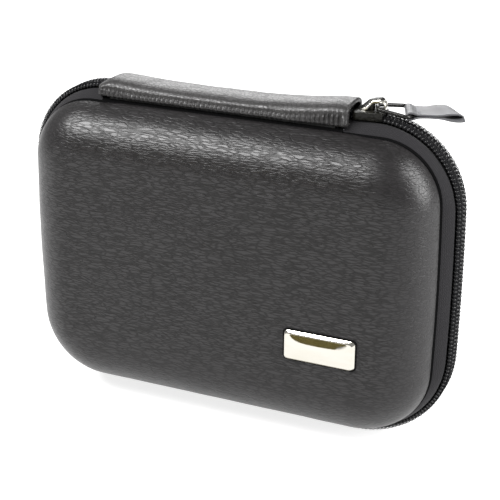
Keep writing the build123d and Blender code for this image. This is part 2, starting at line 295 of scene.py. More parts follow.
@dataclass(frozen=True)
class Weave(Finish):
    """Cloth of crossing yarns, woven or knitted.

    The yarns show as a faint even relief, with a soft sheen where it turns away.
    """

    yarn_mm: float = 0.5
    relief_mm: float = 0.06
    sheen: float = 0.15
    shade: str = "#101011"  # between the yarns
    lint_mm: float = 1.1111
    gloss: float = 0.2  # cloth mirrors far less than a solid of the same stuff
    bands: float = 0.314  # the wave texture's scale at which its bands are one unit apart

    def detail(self, tree: Tree, shader: Node, spot: Socket) -> None:
        """Add two crossing sets of yarns, uneven tension and lint.

        Args:
            tree: The material's nodes.
            shader: The Principled shader.
            spot: The place on the piece, in metres.
        """
        yarns = add_node(tree, "ShaderNodeMapping", {"Vector": spot, "Scale": (sized(self.yarn_mm),) * 3})
        warp = add_node(tree, "ShaderNodeTexWave", {
            "Vector": yarns.outputs[0], "Scale": self.bands, "Distortion": 0.6, "Detail": 1.0},
            bands_direction="DIAGONAL")
        weft = add_node(tree, "ShaderNodeTexWave", {
            "Vector": yarns.outputs[0], "Scale": self.bands, "Distortion": 0.6, "Detail": 1.0},
            bands_direction="Y")
        crossing = add_node(tree, "ShaderNodeMath", {0: warp.outputs["Fac"], 1: weft.outputs["Fac"]},
                            operation="MULTIPLY")
        lint = add_node(tree, "ShaderNodeTexNoise", {
            "Vector": spot, "Scale": sized(self.lint_mm), "Detail": 4.0})
        height = add_node(tree, "ShaderNodeMath", {
            0: lint.outputs["Fac"], 1: 0.5, 2: crossing.outputs[0]}, operation="MULTIPLY_ADD")
        bump = add_node(tree, "ShaderNodeBump", {
            "Strength": 1.0, "Distance": self.relief_mm * MM, "Height": height.outputs[0]})
        tree.links.new(bump.outputs["Normal"], shader.inputs["Normal"])
        colour = add_node(tree, "ShaderNodeMix", {
            0: height.outputs[0], 6: linear(self.shade), 7: linear(self.colour)}, data_type="RGBA")
        tree.links.new(colour.outputs[2], shader.inputs["Base Color"])
        shader.inputs["Specular IOR Level"].default_value = self.gloss
        shader.inputs["Sheen Weight"].default_value = self.sheen
        shader.inputs["Sheen Roughness"].default_value = 0.4


@dataclass(frozen=True)
class Satin(Finish):
    """Satin ribbon of fine parallel filaments, which glosses along their length."""

    filament_mm: float = 0.28  # real ones are far finer: drawn this coarse so that they show
    slub_mm: float = 16.667  # length over which a filament varies
    relief_mm: float = 0.02
    yaw: float = 20.0  # the ribbon's turn from the line of the spine
    shadow_colour: str = "#363638"  # between the filaments

    def detail(self, tree: Tree, shader: Node, spot: Socket) -> None:
        """Add the fine filaments that run along it.

        Args:
            tree: The material's nodes.
            shader: The Principled shader.
            spot: The place on the piece, in metres.
        """
        turned = add_node(tree, "ShaderNodeMapping", {
            "Vector": spot, "Rotation": (0, 0, math.radians(-self.yaw)),
            "Scale": (sized(self.slub_mm), sized(self.filament_mm), sized(self.slub_mm))})
        threads = add_node(tree, "ShaderNodeTexNoise", {
            "Vector": turned.outputs[0], "Scale": 1.0, "Detail": 3.0})
        bump = add_node(tree, "ShaderNodeBump", {
            "Strength": 1.0, "Distance": self.relief_mm * MM, "Height": threads.outputs["Fac"]})
        tree.links.new(bump.outputs["Normal"], shader.inputs["Normal"])
        colour = add_node(tree, "ShaderNodeMix", {
            0: threads.outputs["Fac"], 6: linear(self.shadow_colour), 7: linear(self.colour)},
            data_type="RGBA")
        tree.links.new(colour.outputs[2], shader.inputs["Base Color"])
        shader.inputs["Sheen Weight"].default_value = 0.2
        shader.inputs["Sheen Roughness"].default_value = 0.3


@dataclass(frozen=True)
class Mottled(Finish):
    """A smooth or faintly pitted surface: moulded, plated, drawn or foamed.

    Its fine relief and uneven gloss keep it from looking perfect.
    """

    grain_mm: float = 0.4
    relief_mm: float = 0.01
    second_colour: str = "#000000"
    mottling: float = 0.3  # share of the second colour in its patches
    patch_share: float = 0.13  # the grain's size as a share of a patch's
    gloss_spread: float = 0.08
    stretch: tuple[float, float, float] = (1.0, 1.0, 1.0)
    gloss: float = 0.5

    def detail(self, tree: Tree, shader: Node, spot: Socket) -> None:
        """Add the grain, colour patches and uneven gloss.

        Args:
            tree: The material's nodes.
            shader: The Principled shader.
            spot: The place on the piece, in metres.
        """
        fine = add_node(tree, "ShaderNodeMapping", {
            "Vector": spot, "Scale": [s * sized(self.grain_mm) for s in self.stretch]})
        grain = add_node(tree, "ShaderNodeTexNoise", {"Vector": fine.outputs[0], "Scale": 1.0, "Detail": 4.0})
        patches = add_node(tree, "ShaderNodeTexNoise", {
            "Vector": fine.outputs[0], "Scale": self.patch_share, "Detail": 2.0})
        bump = add_node(tree, "ShaderNodeBump", {
            "Strength": 1.0, "Distance": self.relief_mm * MM, "Height": grain.outputs["Fac"]})
        tree.links.new(bump.outputs["Normal"], shader.inputs["Normal"])
        share = add_node(tree, "ShaderNodeMapRange", {
            "Value": patches.outputs["Fac"], "From Min": 0.35, "From Max": 0.65, "To Max": self.mottling})
        colour = add_node(tree, "ShaderNodeMix", {
            0: share.outputs[0], 6: linear(self.colour), 7: linear(self.second_colour)}, data_type="RGBA")
        tree.links.new(colour.outputs[2], shader.inputs["Base Color"])
        gloss = add_node(tree, "ShaderNodeMapRange", {
            "Value": grain.outputs["Fac"], "From Min": 0.3, "From Max": 0.7,
            "To Min": max(0.02, self.roughness - self.gloss_spread),
            "To Max": self.roughness + self.gloss_spread})
        tree.links.new(gloss.outputs[0], shader.inputs["Roughness"])
        shader.inputs["Specular IOR Level"].default_value = self.gloss


# Embossed and pressed over foam: charcoal, its sheen broken into flecks by the long cells.
LEATHERETTE = GrainedLeatherette("embossed polyurethane leatherette", "leatherette", "#191718", 0.32)
# The same leatherette stretched over soft padding, which flattens its grain to a fine haze. Its colours are
# lighter than the halves': painted light on the spine's lit top.
STRETCHED_AND_LIT_LEATHERETTE = GrainedLeatherette(
    "stretched polyurethane leatherette", "leatherette", "#302f2f", 0.33, crease_colour="#282727",
    cell_mm=(1.5, 1.2, 1.2), fold_mm=(9.0, 5.0, 4.0), relief_mm=0.035, wander_mm=0.5)
# Gussets of woven polyester tape: dull charcoal, with a faint twill.
ZIP_TAPE = Weave("woven polyester zip tape", "zip_tape", "#1f1e20", 0.8, yarn_mm=0.55, shade="#161517",
                 sheen=0.06)
# Drawn nylon: black, with a sharp glint along each turn.
ZIP_COIL = Mottled("drawn nylon monofilament", "zip_coil", "#0c0c0d", 0.28, second_colour="#151516",
                  gloss=0.38)
# Spun sewing thread: dull, lighter than the coil it holds.
THREAD = Mottled("spun polyester thread", "thread", "#18181a", 0.75, grain_mm=0.2, relief_mm=0.03,
                 second_colour="#101011", gloss=0.12)
# The same thread in the ribbon's grey.
GREY_THREAD = Mottled("spun polyester thread, grey", "thread", "#8a8a8d", 0.7, grain_mm=0.2, relief_mm=0.03,
                      second_colour="#5d5d60")
# Bright chrome over stamped steel: a near mirror with faint polishing lines.
CHROME = Mottled("polished chrome plate", "chrome_plate", "#c6c3bb", 0.07, 1.0, grain_mm=0.3,
                 relief_mm=0.0006, second_colour="#bdb8aa", gloss_spread=0.03, stretch=(0.2, 1.0, 1.0))
# Foam mounting tape: black and dull. Where it shows round the plate it is a painted shade line at the plate's
# edge.
PAD_FOAM_AND_EDGE_SHADE = Mottled("black foam mounting tape", "chrome_plate", "#0b0b0b", 0.9, grain_mm=0.3, relief_mm=0.04,
                   second_colour="#131313", gloss=0.08)
# Die-cast zinc with a dark gunmetal enamel: near black, with a broken gloss.
GUNMETAL = Mottled("gunmetal enamel on die-cast zinc", "slider_metal", "#0b0b0a", 0.32, 0.0,
                   grain_mm=0.9, relief_mm=0.2, second_colour="#23221c", mottling=0.7, gloss=0.22)
# The same casting in bright nickel: on the post and the bridge's ends, and on the bridge's edge columns as a
# painted highlight along the bevel.
NICKEL_AND_PAINTED_HIGHLIGHT = Mottled("tumbled bright nickel", "slider_metal", "#e6e3da", 0.18, 1.0, grain_mm=0.35,
                 relief_mm=0.012, second_colour="#b9b4a6", gloss_spread=0.08)
# Black electroplate on drawn wire: dark, with a narrow highlight along the wire.
BLACK_WIRE = Mottled("black electroplate on drawn wire", "link_wire", "#1a1a1a", 0.27, 0.6,
                     grain_mm=0.5, relief_mm=0.01, second_colour="#33322e")
# Polyester filaments laid flat: mid grey, with a soft gloss along the ribbon.
RIBBON = Satin("polyester satin ribbon", "satin_ribbon", "#535356", 0.45)
# Brushed knit lining: charcoal and hairy, with no gloss.
LINING = Weave("brushed knit lining", "lining_cloth", "#3b3b3f", 0.9, yarn_mm=0.8, relief_mm=0.12,
               sheen=0.5, shade="#1f1f22")
# Grosgrain binding: dark and dull, with tight ribs.
BINDING = Weave("woven grosgrain binding", "binding_tape", "#2a2a2b", 0.8, yarn_mm=0.6, relief_mm=0.08)
# The folded seam of the live hinge: the same tape, black and close woven. Near black and almost without
# gloss, it is also laid where the gusset dives behind the rim, as painted shade in that groove and in the gap
# under the spine.
SEAM_TAPE_AND_GROOVE_SHADE = Weave("black woven seam tape", "binding_tape", "#0c0c0d", 0.9, yarn_mm=0.5, relief_mm=0.05,
                  sheen=0.0, shade="#070707", gloss=0.04)
# Knitted elastic: rubber cords under a dull yarn.
ELASTIC = Weave("knitted rubber elastic", "woven_elastic", "#303032", 0.8, yarn_mm=0.5, relief_mm=0.06)
# Net of twisted polyester yarn: charcoal and dull, see-through between the yarns.
NET_YARN = Weave("twisted polyester net yarn", "net_mesh", "#2c2c2e", 0.75, yarn_mm=0.3, relief_mm=0.03)
# Hot-pressed closed-cell EVA foam: dull, with fine open cells where it is cut.
FOAM = Mottled("hot-pressed EVA foam", "moulded_foam", "#252525", 0.85, grain_mm=0.35, relief_mm=0.12,
               second_colour="#333333")
# Stamped bare steel: grey, with the long faint lines of rolling.
STEEL = Mottled("stamped mild steel", "steel_washer", "#a3a19c", 0.35, 1.0, grain_mm=0.25, relief_mm=0.004,
                second_colour="#8b8780", stretch=(0.15, 1.0, 1.0))


# ---------------------------------------------------------------- meshes
@dataclass
class Shape:
    """The points and faces of one mesh while it is made, in millimetres."""

    points: list[np.ndarray] = field(default_factory=list)
    faces: list[tuple[int, ...]] = field(default_factory=list)
    finishes: list[int] = field(default_factory=list)
    count: int = 0

    def add_grid(self, grid: np.ndarray, round_rows: bool = False, round_columns: bool = False,
                 caps: bool = False, finish: int = 0) -> None:
        """Add a grid of points, joined into four-sided faces.

        Args:
            grid: Rows of points, (rows, columns, 3).
            round_rows: Join the last row to the first.
            round_columns: Join the last column to the first.
            caps: Close the first and last rows, which are then rings.
            finish: Which of the mesh's finishes the faces have.
        """
        rows, columns = grid.shape[:2]
        number = self.count + np.arange(rows * columns).reshape(rows, columns)
        r = np.arange(rows if round_rows else rows - 1)[:, None]
        c = np.arange(columns if round_columns else columns - 1)[None, :]
        r2, c2 = (r + 1) % rows, (c + 1) % columns
        quads = np.stack([number[r, c], number[r, c2], number[r2, c2], number[r2, c]], axis=-1).reshape(-1, 4)
        made = [tuple(q) for q in quads.tolist()]
        if caps:
            made += [tuple(number[0, ::-1].tolist()), tuple(number[-1].tolist())]
        self.points.append(grid.reshape(-1, 3))
        self.faces += made
        self.finishes += [finish] * len(made)
        self.count += rows * columns

    def add_tube(self, path: np.ndarray, radius: float, sides: int, up: np.ndarray, closed: bool = False,
                 finish: int = 0) -> None:
        """Add a round bar along a path.

        Args:
            path: Points of its centreline, (n, 3).
            radius: The bar's radius.
            sides: Corners of its section.
            up: A direction, or one for each point, that is never along the path.
            closed: Join the path's ends.
            finish: Which of the mesh's finishes the faces have.
        """
        if closed:
            along = np.roll(path, -1, axis=0) - np.roll(path, 1, axis=0)
        else:
            along = np.gradient(path, axis=0)
        side = np.cross(along, np.broadcast_to(up, path.shape))
        side /= np.linalg.norm(side, axis=1)[:, None]
        rise = np.cross(side, along)
        rise /= np.linalg.norm(rise, axis=1)[:, None]
        turn = np.linspace(0, FULL_TURN, sides, endpoint=False)
        section = (side[:, None] * np.cos(turn)[None, :, None]
                   + rise[:, None] * np.sin(turn)[None, :, None])
        self.add_grid(path[:, None] + radius * section, round_rows=closed, round_columns=True,
                      caps=not closed, finish=finish)

    def build(self, name: str, finishes: list[Finish], weld: float = 0.0, sharp: float = 50.0) -> Piece:
        """Make the mesh and its object, shaded smooth apart from its sharp edges.

        Args:
            name: The piece's name.
            finishes: The materials that its faces name by number.
            weld: Points closer than this are joined.
            sharp: Edges that turn by more than this many degrees stay sharp.

        Returns:
            The new object, with its mesh in metres.
        """
        mesh = bpy.data.meshes.new(name)
        mesh.from_pydata(np.concatenate(self.points) * MM, [], self.faces)
        for finish in finishes:
            mesh.materials.append(finish.material())
        mesh.polygons.foreach_set("material_index", self.finishes)
        work = bmesh.new()
        work.from_mesh(mesh)
        if weld:
            bmesh.ops.remove_doubles(work, verts=work.verts, dist=weld * MM)
        bmesh.ops.recalc_face_normals(work, faces=work.faces)
        work.to_mesh(mesh)
        work.free()
        mesh.polygons.foreach_set("use_smooth", [True] * len(mesh.polygons))
        mesh.set_sharp_from_angle(angle=math.radians(sharp))
        piece = bpy.data.objects.new(name, mesh)
        bpy.context.scene.collection.objects.link(piece)
        return piece


def settle(piece: Piece, kind: str, **settings: object) -> Piece:
    """Apply one modifier to a piece's mesh for good.

    Args:
        piece: The object to change.
        kind: The modifier's type.
        **settings: The modifier's properties.

    Returns:
        The same object.
    """
    modifier = piece.modifiers.new(kind.title(), kind)
    for name, value in settings.items():
        setattr(modifier, name, value)
    bpy.context.view_layer.update()
    graph = bpy.context.evaluated_depsgraph_get()
    mesh = bpy.data.meshes.new_from_object(piece.evaluated_get(graph))
    piece.modifiers.clear()
    piece.data = mesh
    return piece


def place(piece: Piece, finish: Finish, body: str, *replaced: str) -> Piece:
    """Set a piece on its body, and say which CAD nodes it stands for.

    Args:
        piece: The finished object.
        finish: The piece's finish; not used.
        body: The CAD body that carries it.
        *replaced: CAD nodes that it replaces.

    Returns:
        The same object.
    """
    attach(piece, body)
    if replaced:
        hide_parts(*replaced)
    log.info("%s rides %s, %d faces", piece.name, body, len(piece.data.polygons))
    return piece


def wavering(points: np.ndarray, cell: float, seed: float) -> np.ndarray:
    """Give each point a smooth random number from about -1 to 1.

    Args:
        points: Places in millimetres, (n, 3).
        cell: Size of the unevenness in millimetres.
        seed: Shifts the pattern.

    Returns:
        One number for each point.
    """
    shift = Vector((seed, seed * 1.7, seed * 2.3))
    return np.array([noise.noise(Vector(p) / cell + shift) for p in points.tolist()])


def smooth_line(corners: list[tuple[float, ...]], steps: int, closed: bool = False) -> np.ndarray:
    """Draw a smooth line through a few points.

    Args:
        corners: The points that it passes.
        steps: Pieces of line between two of them.
        closed: Join the last to the first.

    Returns:
        Points along the line.
    """
    p = np.array(corners, float)
    count = len(p)
    spans = count if closed else count - 1
    t = np.linspace(0, 1, steps, endpoint=False)[:, None]
    line = []
    for i in range(spans):
        if closed:
            a, b, c, d = (p[(i + k) % count] for k in (-1, 0, 1, 2))
        else:
            a, b, c, d = (p[min(max(i + k, 0), count - 1)] for k in (-1, 0, 1, 2))
        line.append(0.5 * (2 * b + (c - a) * t + (2 * a - 5 * b + 4 * c - d) * t**2
                           + (3 * b - a - 3 * c + d) * t**3))
    if not closed:
        line.append(p[-1:])
    return np.concatenate(line)


# ---------------------------------------------------------------- the case's form
@dataclass(frozen=True)
class CaseForm:
    """The forms that all the pieces share, as in the CAD."""

    width: float = 156.0
    height: float = 113.0
    depth: float = 45.4
    bulge: float = 1.5
    zip_radius: float = 29.5
    foot_extra: float = 4.0  # the bottom corners are rounder by this much
    rim_inset: float = 5.0
    rim_radius: float = 21.0
    rim_offset: float = 8.6
    curve_start: float = 6.4  # the sides curve in from this far off the zip's plane
    top_steps: int = 32
    corner_steps: int = 24
    side_steps: int = 20

    @property
    def face_radius(self) -> float:
        """Radius of the round from the sides to the faces."""
        return self.depth / 2 - self.curve_start

    @property
    def corner(self) -> tuple[float, float]:
        """Middle (x, z) of the round of the rim's top right corner, z from mid height."""
        return (self.width / 2 - self.bulge - self.rim_inset - self.rim_radius,
                self.height / 2 - self.rim_inset - self.rim_radius)

    def quarter(self, inset: float, radius: float) -> np.ndarray:
        """Walk from the middle of the top to the middle of the right side.

        Args:
            inset: Distance inside the zip crest.
            radius: Radius of the corner.

        Returns:
            Points (x, z), with z from mid height.
        """
        half_w = self.width / 2 - self.bulge - inset
        half_h = self.height / 2 - inset
        side_radius = (half_h**2 + self.bulge**2) / (2 * self.bulge)
        side_x = half_w + self.bulge - side_radius
        corner_z = half_h - radius
        corner_x = side_x + math.sqrt((side_radius - radius) ** 2 - corner_z**2)
        lean = math.atan2(corner_z, corner_x - side_x)
        turn = np.linspace(math.pi / 2, lean, self.corner_steps + 1)[:-1]
        bow = np.linspace(lean, 0, self.side_steps + 1)
        top = np.linspace((0, half_h), (corner_x, half_h), self.top_steps + 1)[:-1]
        corner = np.stack([corner_x + radius * np.cos(turn), corner_z + radius * np.sin(turn)], axis=1)
        side = np.stack([side_x + side_radius * np.cos(bow), side_radius * np.sin(bow)], axis=1)
        return np.concatenate([top, corner, side])

    def outline(self, inset: float, radius: float) -> np.ndarray:
        """Walk round the case clockwise from the middle of its top.

        Args:
            inset: Distance inside the zip crest.
            radius: Radius of the top corners.

        Returns:
            Points (x, z), as many for every outline.
        """
        upper = self.quarter(inset, radius)
        lower = self.quarter(inset, radius + self.foot_extra) * (1, -1)
        right = np.concatenate([upper, lower[-2::-1]])
        ring = np.concatenate([right, right[-2:0:-1] * (-1, 1)])
        return ring + (0, self.height / 2)

    def ring(self, side: Side, offset: float, inset: float, radius: float) -> np.ndarray:
        """Place an outline, as points (x, y, z), at one distance from the zip's plane."""
        flat = self.outline(inset, radius)
        return np.insert(flat, 1, side.value * offset, axis=1)

    def curve(self, offset: float, cover: float) -> float:
        """Return how far the side has curved in at one distance from the zip's plane."""
        radius = self.face_radius - cover
        return cover + radius - math.sqrt(radius**2 - (offset - self.curve_start) ** 2)

    def wall(self, side: Side, cover: float, start: float, steps: int = 16) -> list[np.ndarray]:
        """Follow a half's wall from one distance off the zip's plane round to its face.

        Args:
            side: Which half.
            cover: Distance inside the leatherette's surface.
            start: Where the wall starts.
            steps: Rings on the round.

        Returns:
            Rings of points, the last at the edge of the face.
        """
        radius = self.face_radius - cover
        first = math.asin((start - self.curve_start) / radius)
        rings = []
        for turn in np.linspace(first, math.pi / 2, steps + 1):
            inset = cover + radius * (1 - math.cos(turn))
            rings.append(self.ring(side, self.curve_start + radius * math.sin(turn),
                                   self.rim_inset + inset, self.rim_radius - inset))
        return rings

    def face(self, edge: np.ndarray, steps: int = 24) -> list[np.ndarray]:
        """Fill a face from its edge to the line along its middle.

        Args:
            edge: The ring at the face's edge.
            steps: Rings between the edge and the middle.

        Returns:
            Rings of points, the last one collapsed to a line.
        """
        middle = edge.copy()
        half_h = edge[:, 2].max() - self.height / 2
        reach = edge[:, 0].max() - half_h
        upper = np.minimum(edge[: self.top_steps + self.corner_steps + self.side_steps + 1, 0], reach)
        right = np.concatenate([upper, upper[-2::-1]])  # the halves over and under it meet there
        middle[:, 0] = np.concatenate([right, -right[-2:0:-1]])
        middle[:, 2] = self.height / 2
        return [edge + (middle - edge) * t for t in np.linspace(0, 1, steps + 1)[1:]]


FORM = CaseForm()


class Track:
    """The zip's crest as a path, measured by its length from the middle of the top."""

    def __init__(self, form: CaseForm) -> None:
        """Measure the crest.

        Args:
            form: The case's form.
        """
        self.form = form
        ring = form.outline(0.0, form.zip_radius)
        closed = np.concatenate([ring, ring[:1]])
        self.lengths = np.concatenate([[0], np.cumsum(np.linalg.norm(np.diff(closed, axis=0), axis=1))])
        self.total = float(self.lengths[-1])
        along = np.roll(ring, -1, axis=0) - np.roll(ring, 1, axis=0)
        along /= np.linalg.norm(along, axis=1)[:, None]
        self.places = closed
        self.alongs = np.concatenate([along, along[:1]])

    def at(self, s: np.ndarray) -> tuple[np.ndarray, np.ndarray, np.ndarray]:
        """Find places on the crest.

        Args:
            s: Lengths along it.

        Returns:
            The places, the directions along the zip and those out of it, each (n, 3) with y at zero.
        """
        wrapped = np.mod(s, self.total)
        place_xz = np.stack([np.interp(wrapped, self.lengths, self.places[:, k]) for k in (0, 1)], axis=1)
        along = np.stack([np.interp(wrapped, self.lengths, self.alongs[:, k]) for k in (0, 1)], axis=1)
        along /= np.linalg.norm(along, axis=1)[:, None]
        out = np.stack([-along[:, 1], along[:, 0]], axis=1)
        return tuple(np.insert(v, 1, 0.0, axis=1) for v in (place_xz, along, out))

    def ring_part(self, ring: np.ndarray, s: np.ndarray) -> np.ndarray:
        """Read a ring of the case's form beside places on the crest.

        Args:
            ring: Points from CaseForm.ring.
            s: Lengths along the crest.

        Returns:
            The ring's points there, (n, 3).
        """
        number = np.interp(np.mod(s, self.total), self.lengths, np.arange(len(self.lengths)))
        closed = np.concatenate([ring, ring[:1]])
        return np.stack([np.interp(number, np.arange(len(closed)), closed[:, k]) for k in range(3)], axis=1)

    def length_at(self, x: float) -> float:
        """Return the length along the crest to where it passes x on the top right."""
        upper = self.places[: self.form.top_steps + self.form.corner_steps + 1, 0]
        return float(np.interp(x, upper, self.lengths[: len(upper)]))


TRACK = Track(FORM)


# ---------------------------------------------------------------- the moulded halves
@dataclass
class Half:
    """One moulded half: leatherette, foam, lining and the binding round its rim."""

    side: Side
    body: str
    lip_round: float = 0.95  # the leatherette's edge rolls in at the rim
    lip_rise: float = 0.6  # and stands up by this much under the spine
    skin: float = 0.9
    lining_cover: float = 3.5
    lining: float = 0.55
    sway: float = 0.09  # unevenness of the pressed surface
    badge_spot: tuple[float, float] = (38.4, 38.3)
    badge_half: tuple[float, float] = (12.0, 5.0)
    badge_press: float = 0.28  # how deep the plate is pressed in
    binding_inset: float = 7.5  # middle of the binding, inside the zip crest
    binding_half: float = 1.55
    binding_thick: float = 0.5  # half of its thickness
    roundness: float = 0.6  # power that makes its section a round-cornered bar
    stitch_pitch: float = 3.1
    stitch_length: float = 2.2

    def swell(self, points: np.ndarray, inward: np.ndarray) -> np.ndarray:
        """Make the pressed surface a little uneven, and dent it round the badge.

        Args:
            points: Places on the surface.
            inward: The direction into the case at each.

        Returns:
            The moved places.
        """
        fade = np.clip((np.abs(points[:, 1]) - FORM.rim_offset - 1.0) / 4.0, 0, 1)
        depth = self.sway * (wavering(points, 13.0, 3.1) + 0.5 * wavering(points, 5.0, 8.3)) * fade
        if self.side is Side.FRONT:
            gap = np.abs(points[:, (0, 2)] - self.badge_spot) - self.badge_half
            away = np.linalg.norm(np.maximum(gap, 0), axis=1)
            on_face = np.abs(points[:, 1]) > FORM.depth / 2 - 1.5
            depth += np.where(on_face, self.badge_press * np.exp(-((away / 1.3) ** 2)), 0)
        return points + inward * depth[:, None]

    def surface(self) -> np.ndarray:
        """Draw the mould's surface, from the lip at the rim to the middle of the face.

        Returns:
            Rings of points, (rings, points, 3).
        """
        rings = []
        for turn in np.linspace(0, math.pi / 2, 7)[:-1]:
            offset = FORM.rim_offset + self.lip_round * (1 - math.cos(turn))
            inset = FORM.curve(offset, 0.0) + self.lip_round * (1 - math.sin(turn))
            rings.append(FORM.ring(self.side, offset, FORM.rim_inset + inset, FORM.rim_radius - inset))
        rings += FORM.wall(self.side, 0.0, FORM.rim_offset + self.lip_round)
        for ring in rings:  # between the spine's ends, the top of the lip stands up a little
            near = np.exp(-(((np.abs(ring[:, 1]) - FORM.rim_offset - 1.0) / 2.2) ** 2))
            inner = np.clip((50.0 - np.abs(ring[:, 0])) / 12.0, 0, 1)
            top = np.clip((ring[:, 2] - FORM.height + 12.0) / 4.0, 0, 1)
            ring[:, 2] += self.lip_rise * near * inner**2 * (3 - 2 * inner) * top
        rings += FORM.face(rings[-1])
        return np.array(rings)

    def inward(self, points: np.ndarray) -> np.ndarray:
        """Find the direction into the case at places on the mould's surface.

        Args:
            points: The places, (n, 3).

        Returns:
            One unit vector for each.
        """
        corner_x, corner_z = FORM.corner
        middle = FORM.height / 2
        core = np.stack([np.clip(points[:, 0], -corner_x, corner_x),
                         np.clip(points[:, 2], middle - corner_z, middle + corner_z)], axis=1)
        out = points[:, (0, 2)] - core
        out /= np.maximum(np.linalg.norm(out, axis=1), 1e-6)[:, None]
        turn = np.arcsin(np.clip((np.abs(points[:, 1]) - FORM.curve_start) / FORM.face_radius, 0, 1))
        return np.stack([-out[:, 0] * np.cos(turn), -self.side.value * np.sin(turn),
                         -out[:, 1] * np.cos(turn)], axis=1)

    def cover(self) -> Piece:
        """Press the leatherette over the foam, with its edge rolled in at the rim.

        Returns:
            The leatherette.
        """
        grid = self.surface()
        flat = grid.reshape(-1, 3)
        shape = Shape()
        shape.add_grid(self.swell(flat, self.inward(flat)).reshape(grid.shape), round_columns=True)
        piece = shape.build(f"{self.body}_leatherette", [LEATHERETTE], weld=0.01)
        settle(piece, "SOLIDIFY", thickness=self.skin * MM, offset=-1.0)
        return place(piece, LEATHERETTE, self.body, f"{self.body}_skin")

    def cloth(self) -> Piece:
        """Lay the knit lining inside the foam.

        Returns:
            The lining.
        """
        shape = Shape()
        layers = []
        for cover in (self.lining_cover, self.lining_cover + self.lining):
            wall = FORM.wall(self.side, cover, FORM.rim_offset, steps=12)
            layers.append([*wall, *FORM.face(wall[-1], steps=14)])
        outer, inner = layers
        inner = [ring + np.array([0, -0.12 * self.side.value, 0]) * wavering(ring, 7.0, 5.5)[:, None]
                 for ring in inner]
        shape.add_grid(np.array(inner[::-1] + outer), round_columns=True)
        piece = shape.build(f"{self.body}_lining_cloth", [LINING], weld=0.01)
        return place(piece, LINING, self.body, f"{self.body}_lining")

    def rim_tape(self) -> Piece:
        """Sew the binding over the rim's inner edge, with its row of stitches.

        Returns:
            The binding.
        """
        shape = Shape()
        centre = FORM.rim_inset + FORM.rim_radius  # all the rings share the middles of their corners
        rings = []
        for angle in np.linspace(0, FULL_TURN, 16, endpoint=False):
            c, s = math.cos(angle), math.sin(angle)
            across = self.binding_inset + self.binding_half * np.sign(c) * abs(c) ** self.roundness
            lift = (FORM.rim_offset - self.binding_thick
                    + self.binding_thick * np.sign(s) * abs(s) ** self.roundness)
            rings.append(FORM.ring(self.side, lift, across, centre - across))
        shape.add_grid(np.array(rings), round_rows=True, round_columns=True)
        row = FORM.ring(self.side, FORM.rim_offset - 2 * self.binding_thick - 0.02, self.binding_inset,
                        centre - self.binding_inset)
        lengths = np.concatenate([[0], np.cumsum(np.linalg.norm(np.diff(row, axis=0), axis=1))])
        for start in np.arange(0, lengths[-1] - 2, self.stitch_pitch):
            s = start + np.linspace(0, self.stitch_length, 6)
            path = np.stack([np.interp(s, lengths, row[:, k]) for k in range(3)], axis=1)
            path[:, 1] += self.side.value * np.array([0.22, 0.02, -0.03, -0.03, 0.02, 0.22])
            shape.add_tube(path, 0.17, 6, np.array([0, 1.0, 0]), finish=1)
        piece = shape.build(f"{self.body}_binding_tape", [BINDING, THREAD], sharp=80)
        return place(piece, BINDING, self.body, f"{self.body}_binding")

    def make(self) -> None:
        """Make this half's pieces, and dress the foam that the CAD gives."""
        self.cover()
        self.cloth()
        self.rim_tape()
        dress(f"{self.body}_shell", FOAM)


def dress(node: str, finish: Finish) -> None:
    """Give a CAD node that stays its finish.

    Args:
        node: The node's name.
        finish: Its real material.
    """
    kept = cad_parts[node]
    kept.data.materials.clear()
    kept.data.materials.append(finish.material())
    log.info("%s keeps its CAD shape in %s", node, finish.name)


# ---------------------------------------------------------------- the zip
@dataclass(frozen=True)
class ZipRun:
    """A stretch of one half of the zip, and the bodies that carry it."""

    name: str
    side: Side
    start: float
    end: float
    node: str  # the CAD node that each piece stands for, with a gap for its kind
    body: str = ""
    bend: tuple[str, str] | None = None  # the bodies it flexes between
    bend_start: tuple[float, float, float] = (0, 0, 0)
    bend_end: tuple[float, float, float] = (0, 0, 0)

    def carry(self, piece: Piece, finish: Finish, *replaced: str) -> None:
        """Set a piece of this run on its body; one that flexes between two is only baked in place.

        Args:
            piece: The finished object.
            finish: The piece's finish, passed on to place.
            *replaced: CAD nodes that it replaces.
        """
        if self.bend is None:
            place(piece, finish, self.body, *replaced)
            return
        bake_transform(piece)
        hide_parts(*replaced)
        log.info("%s flexes between %s and %s", piece.name, *self.bend)


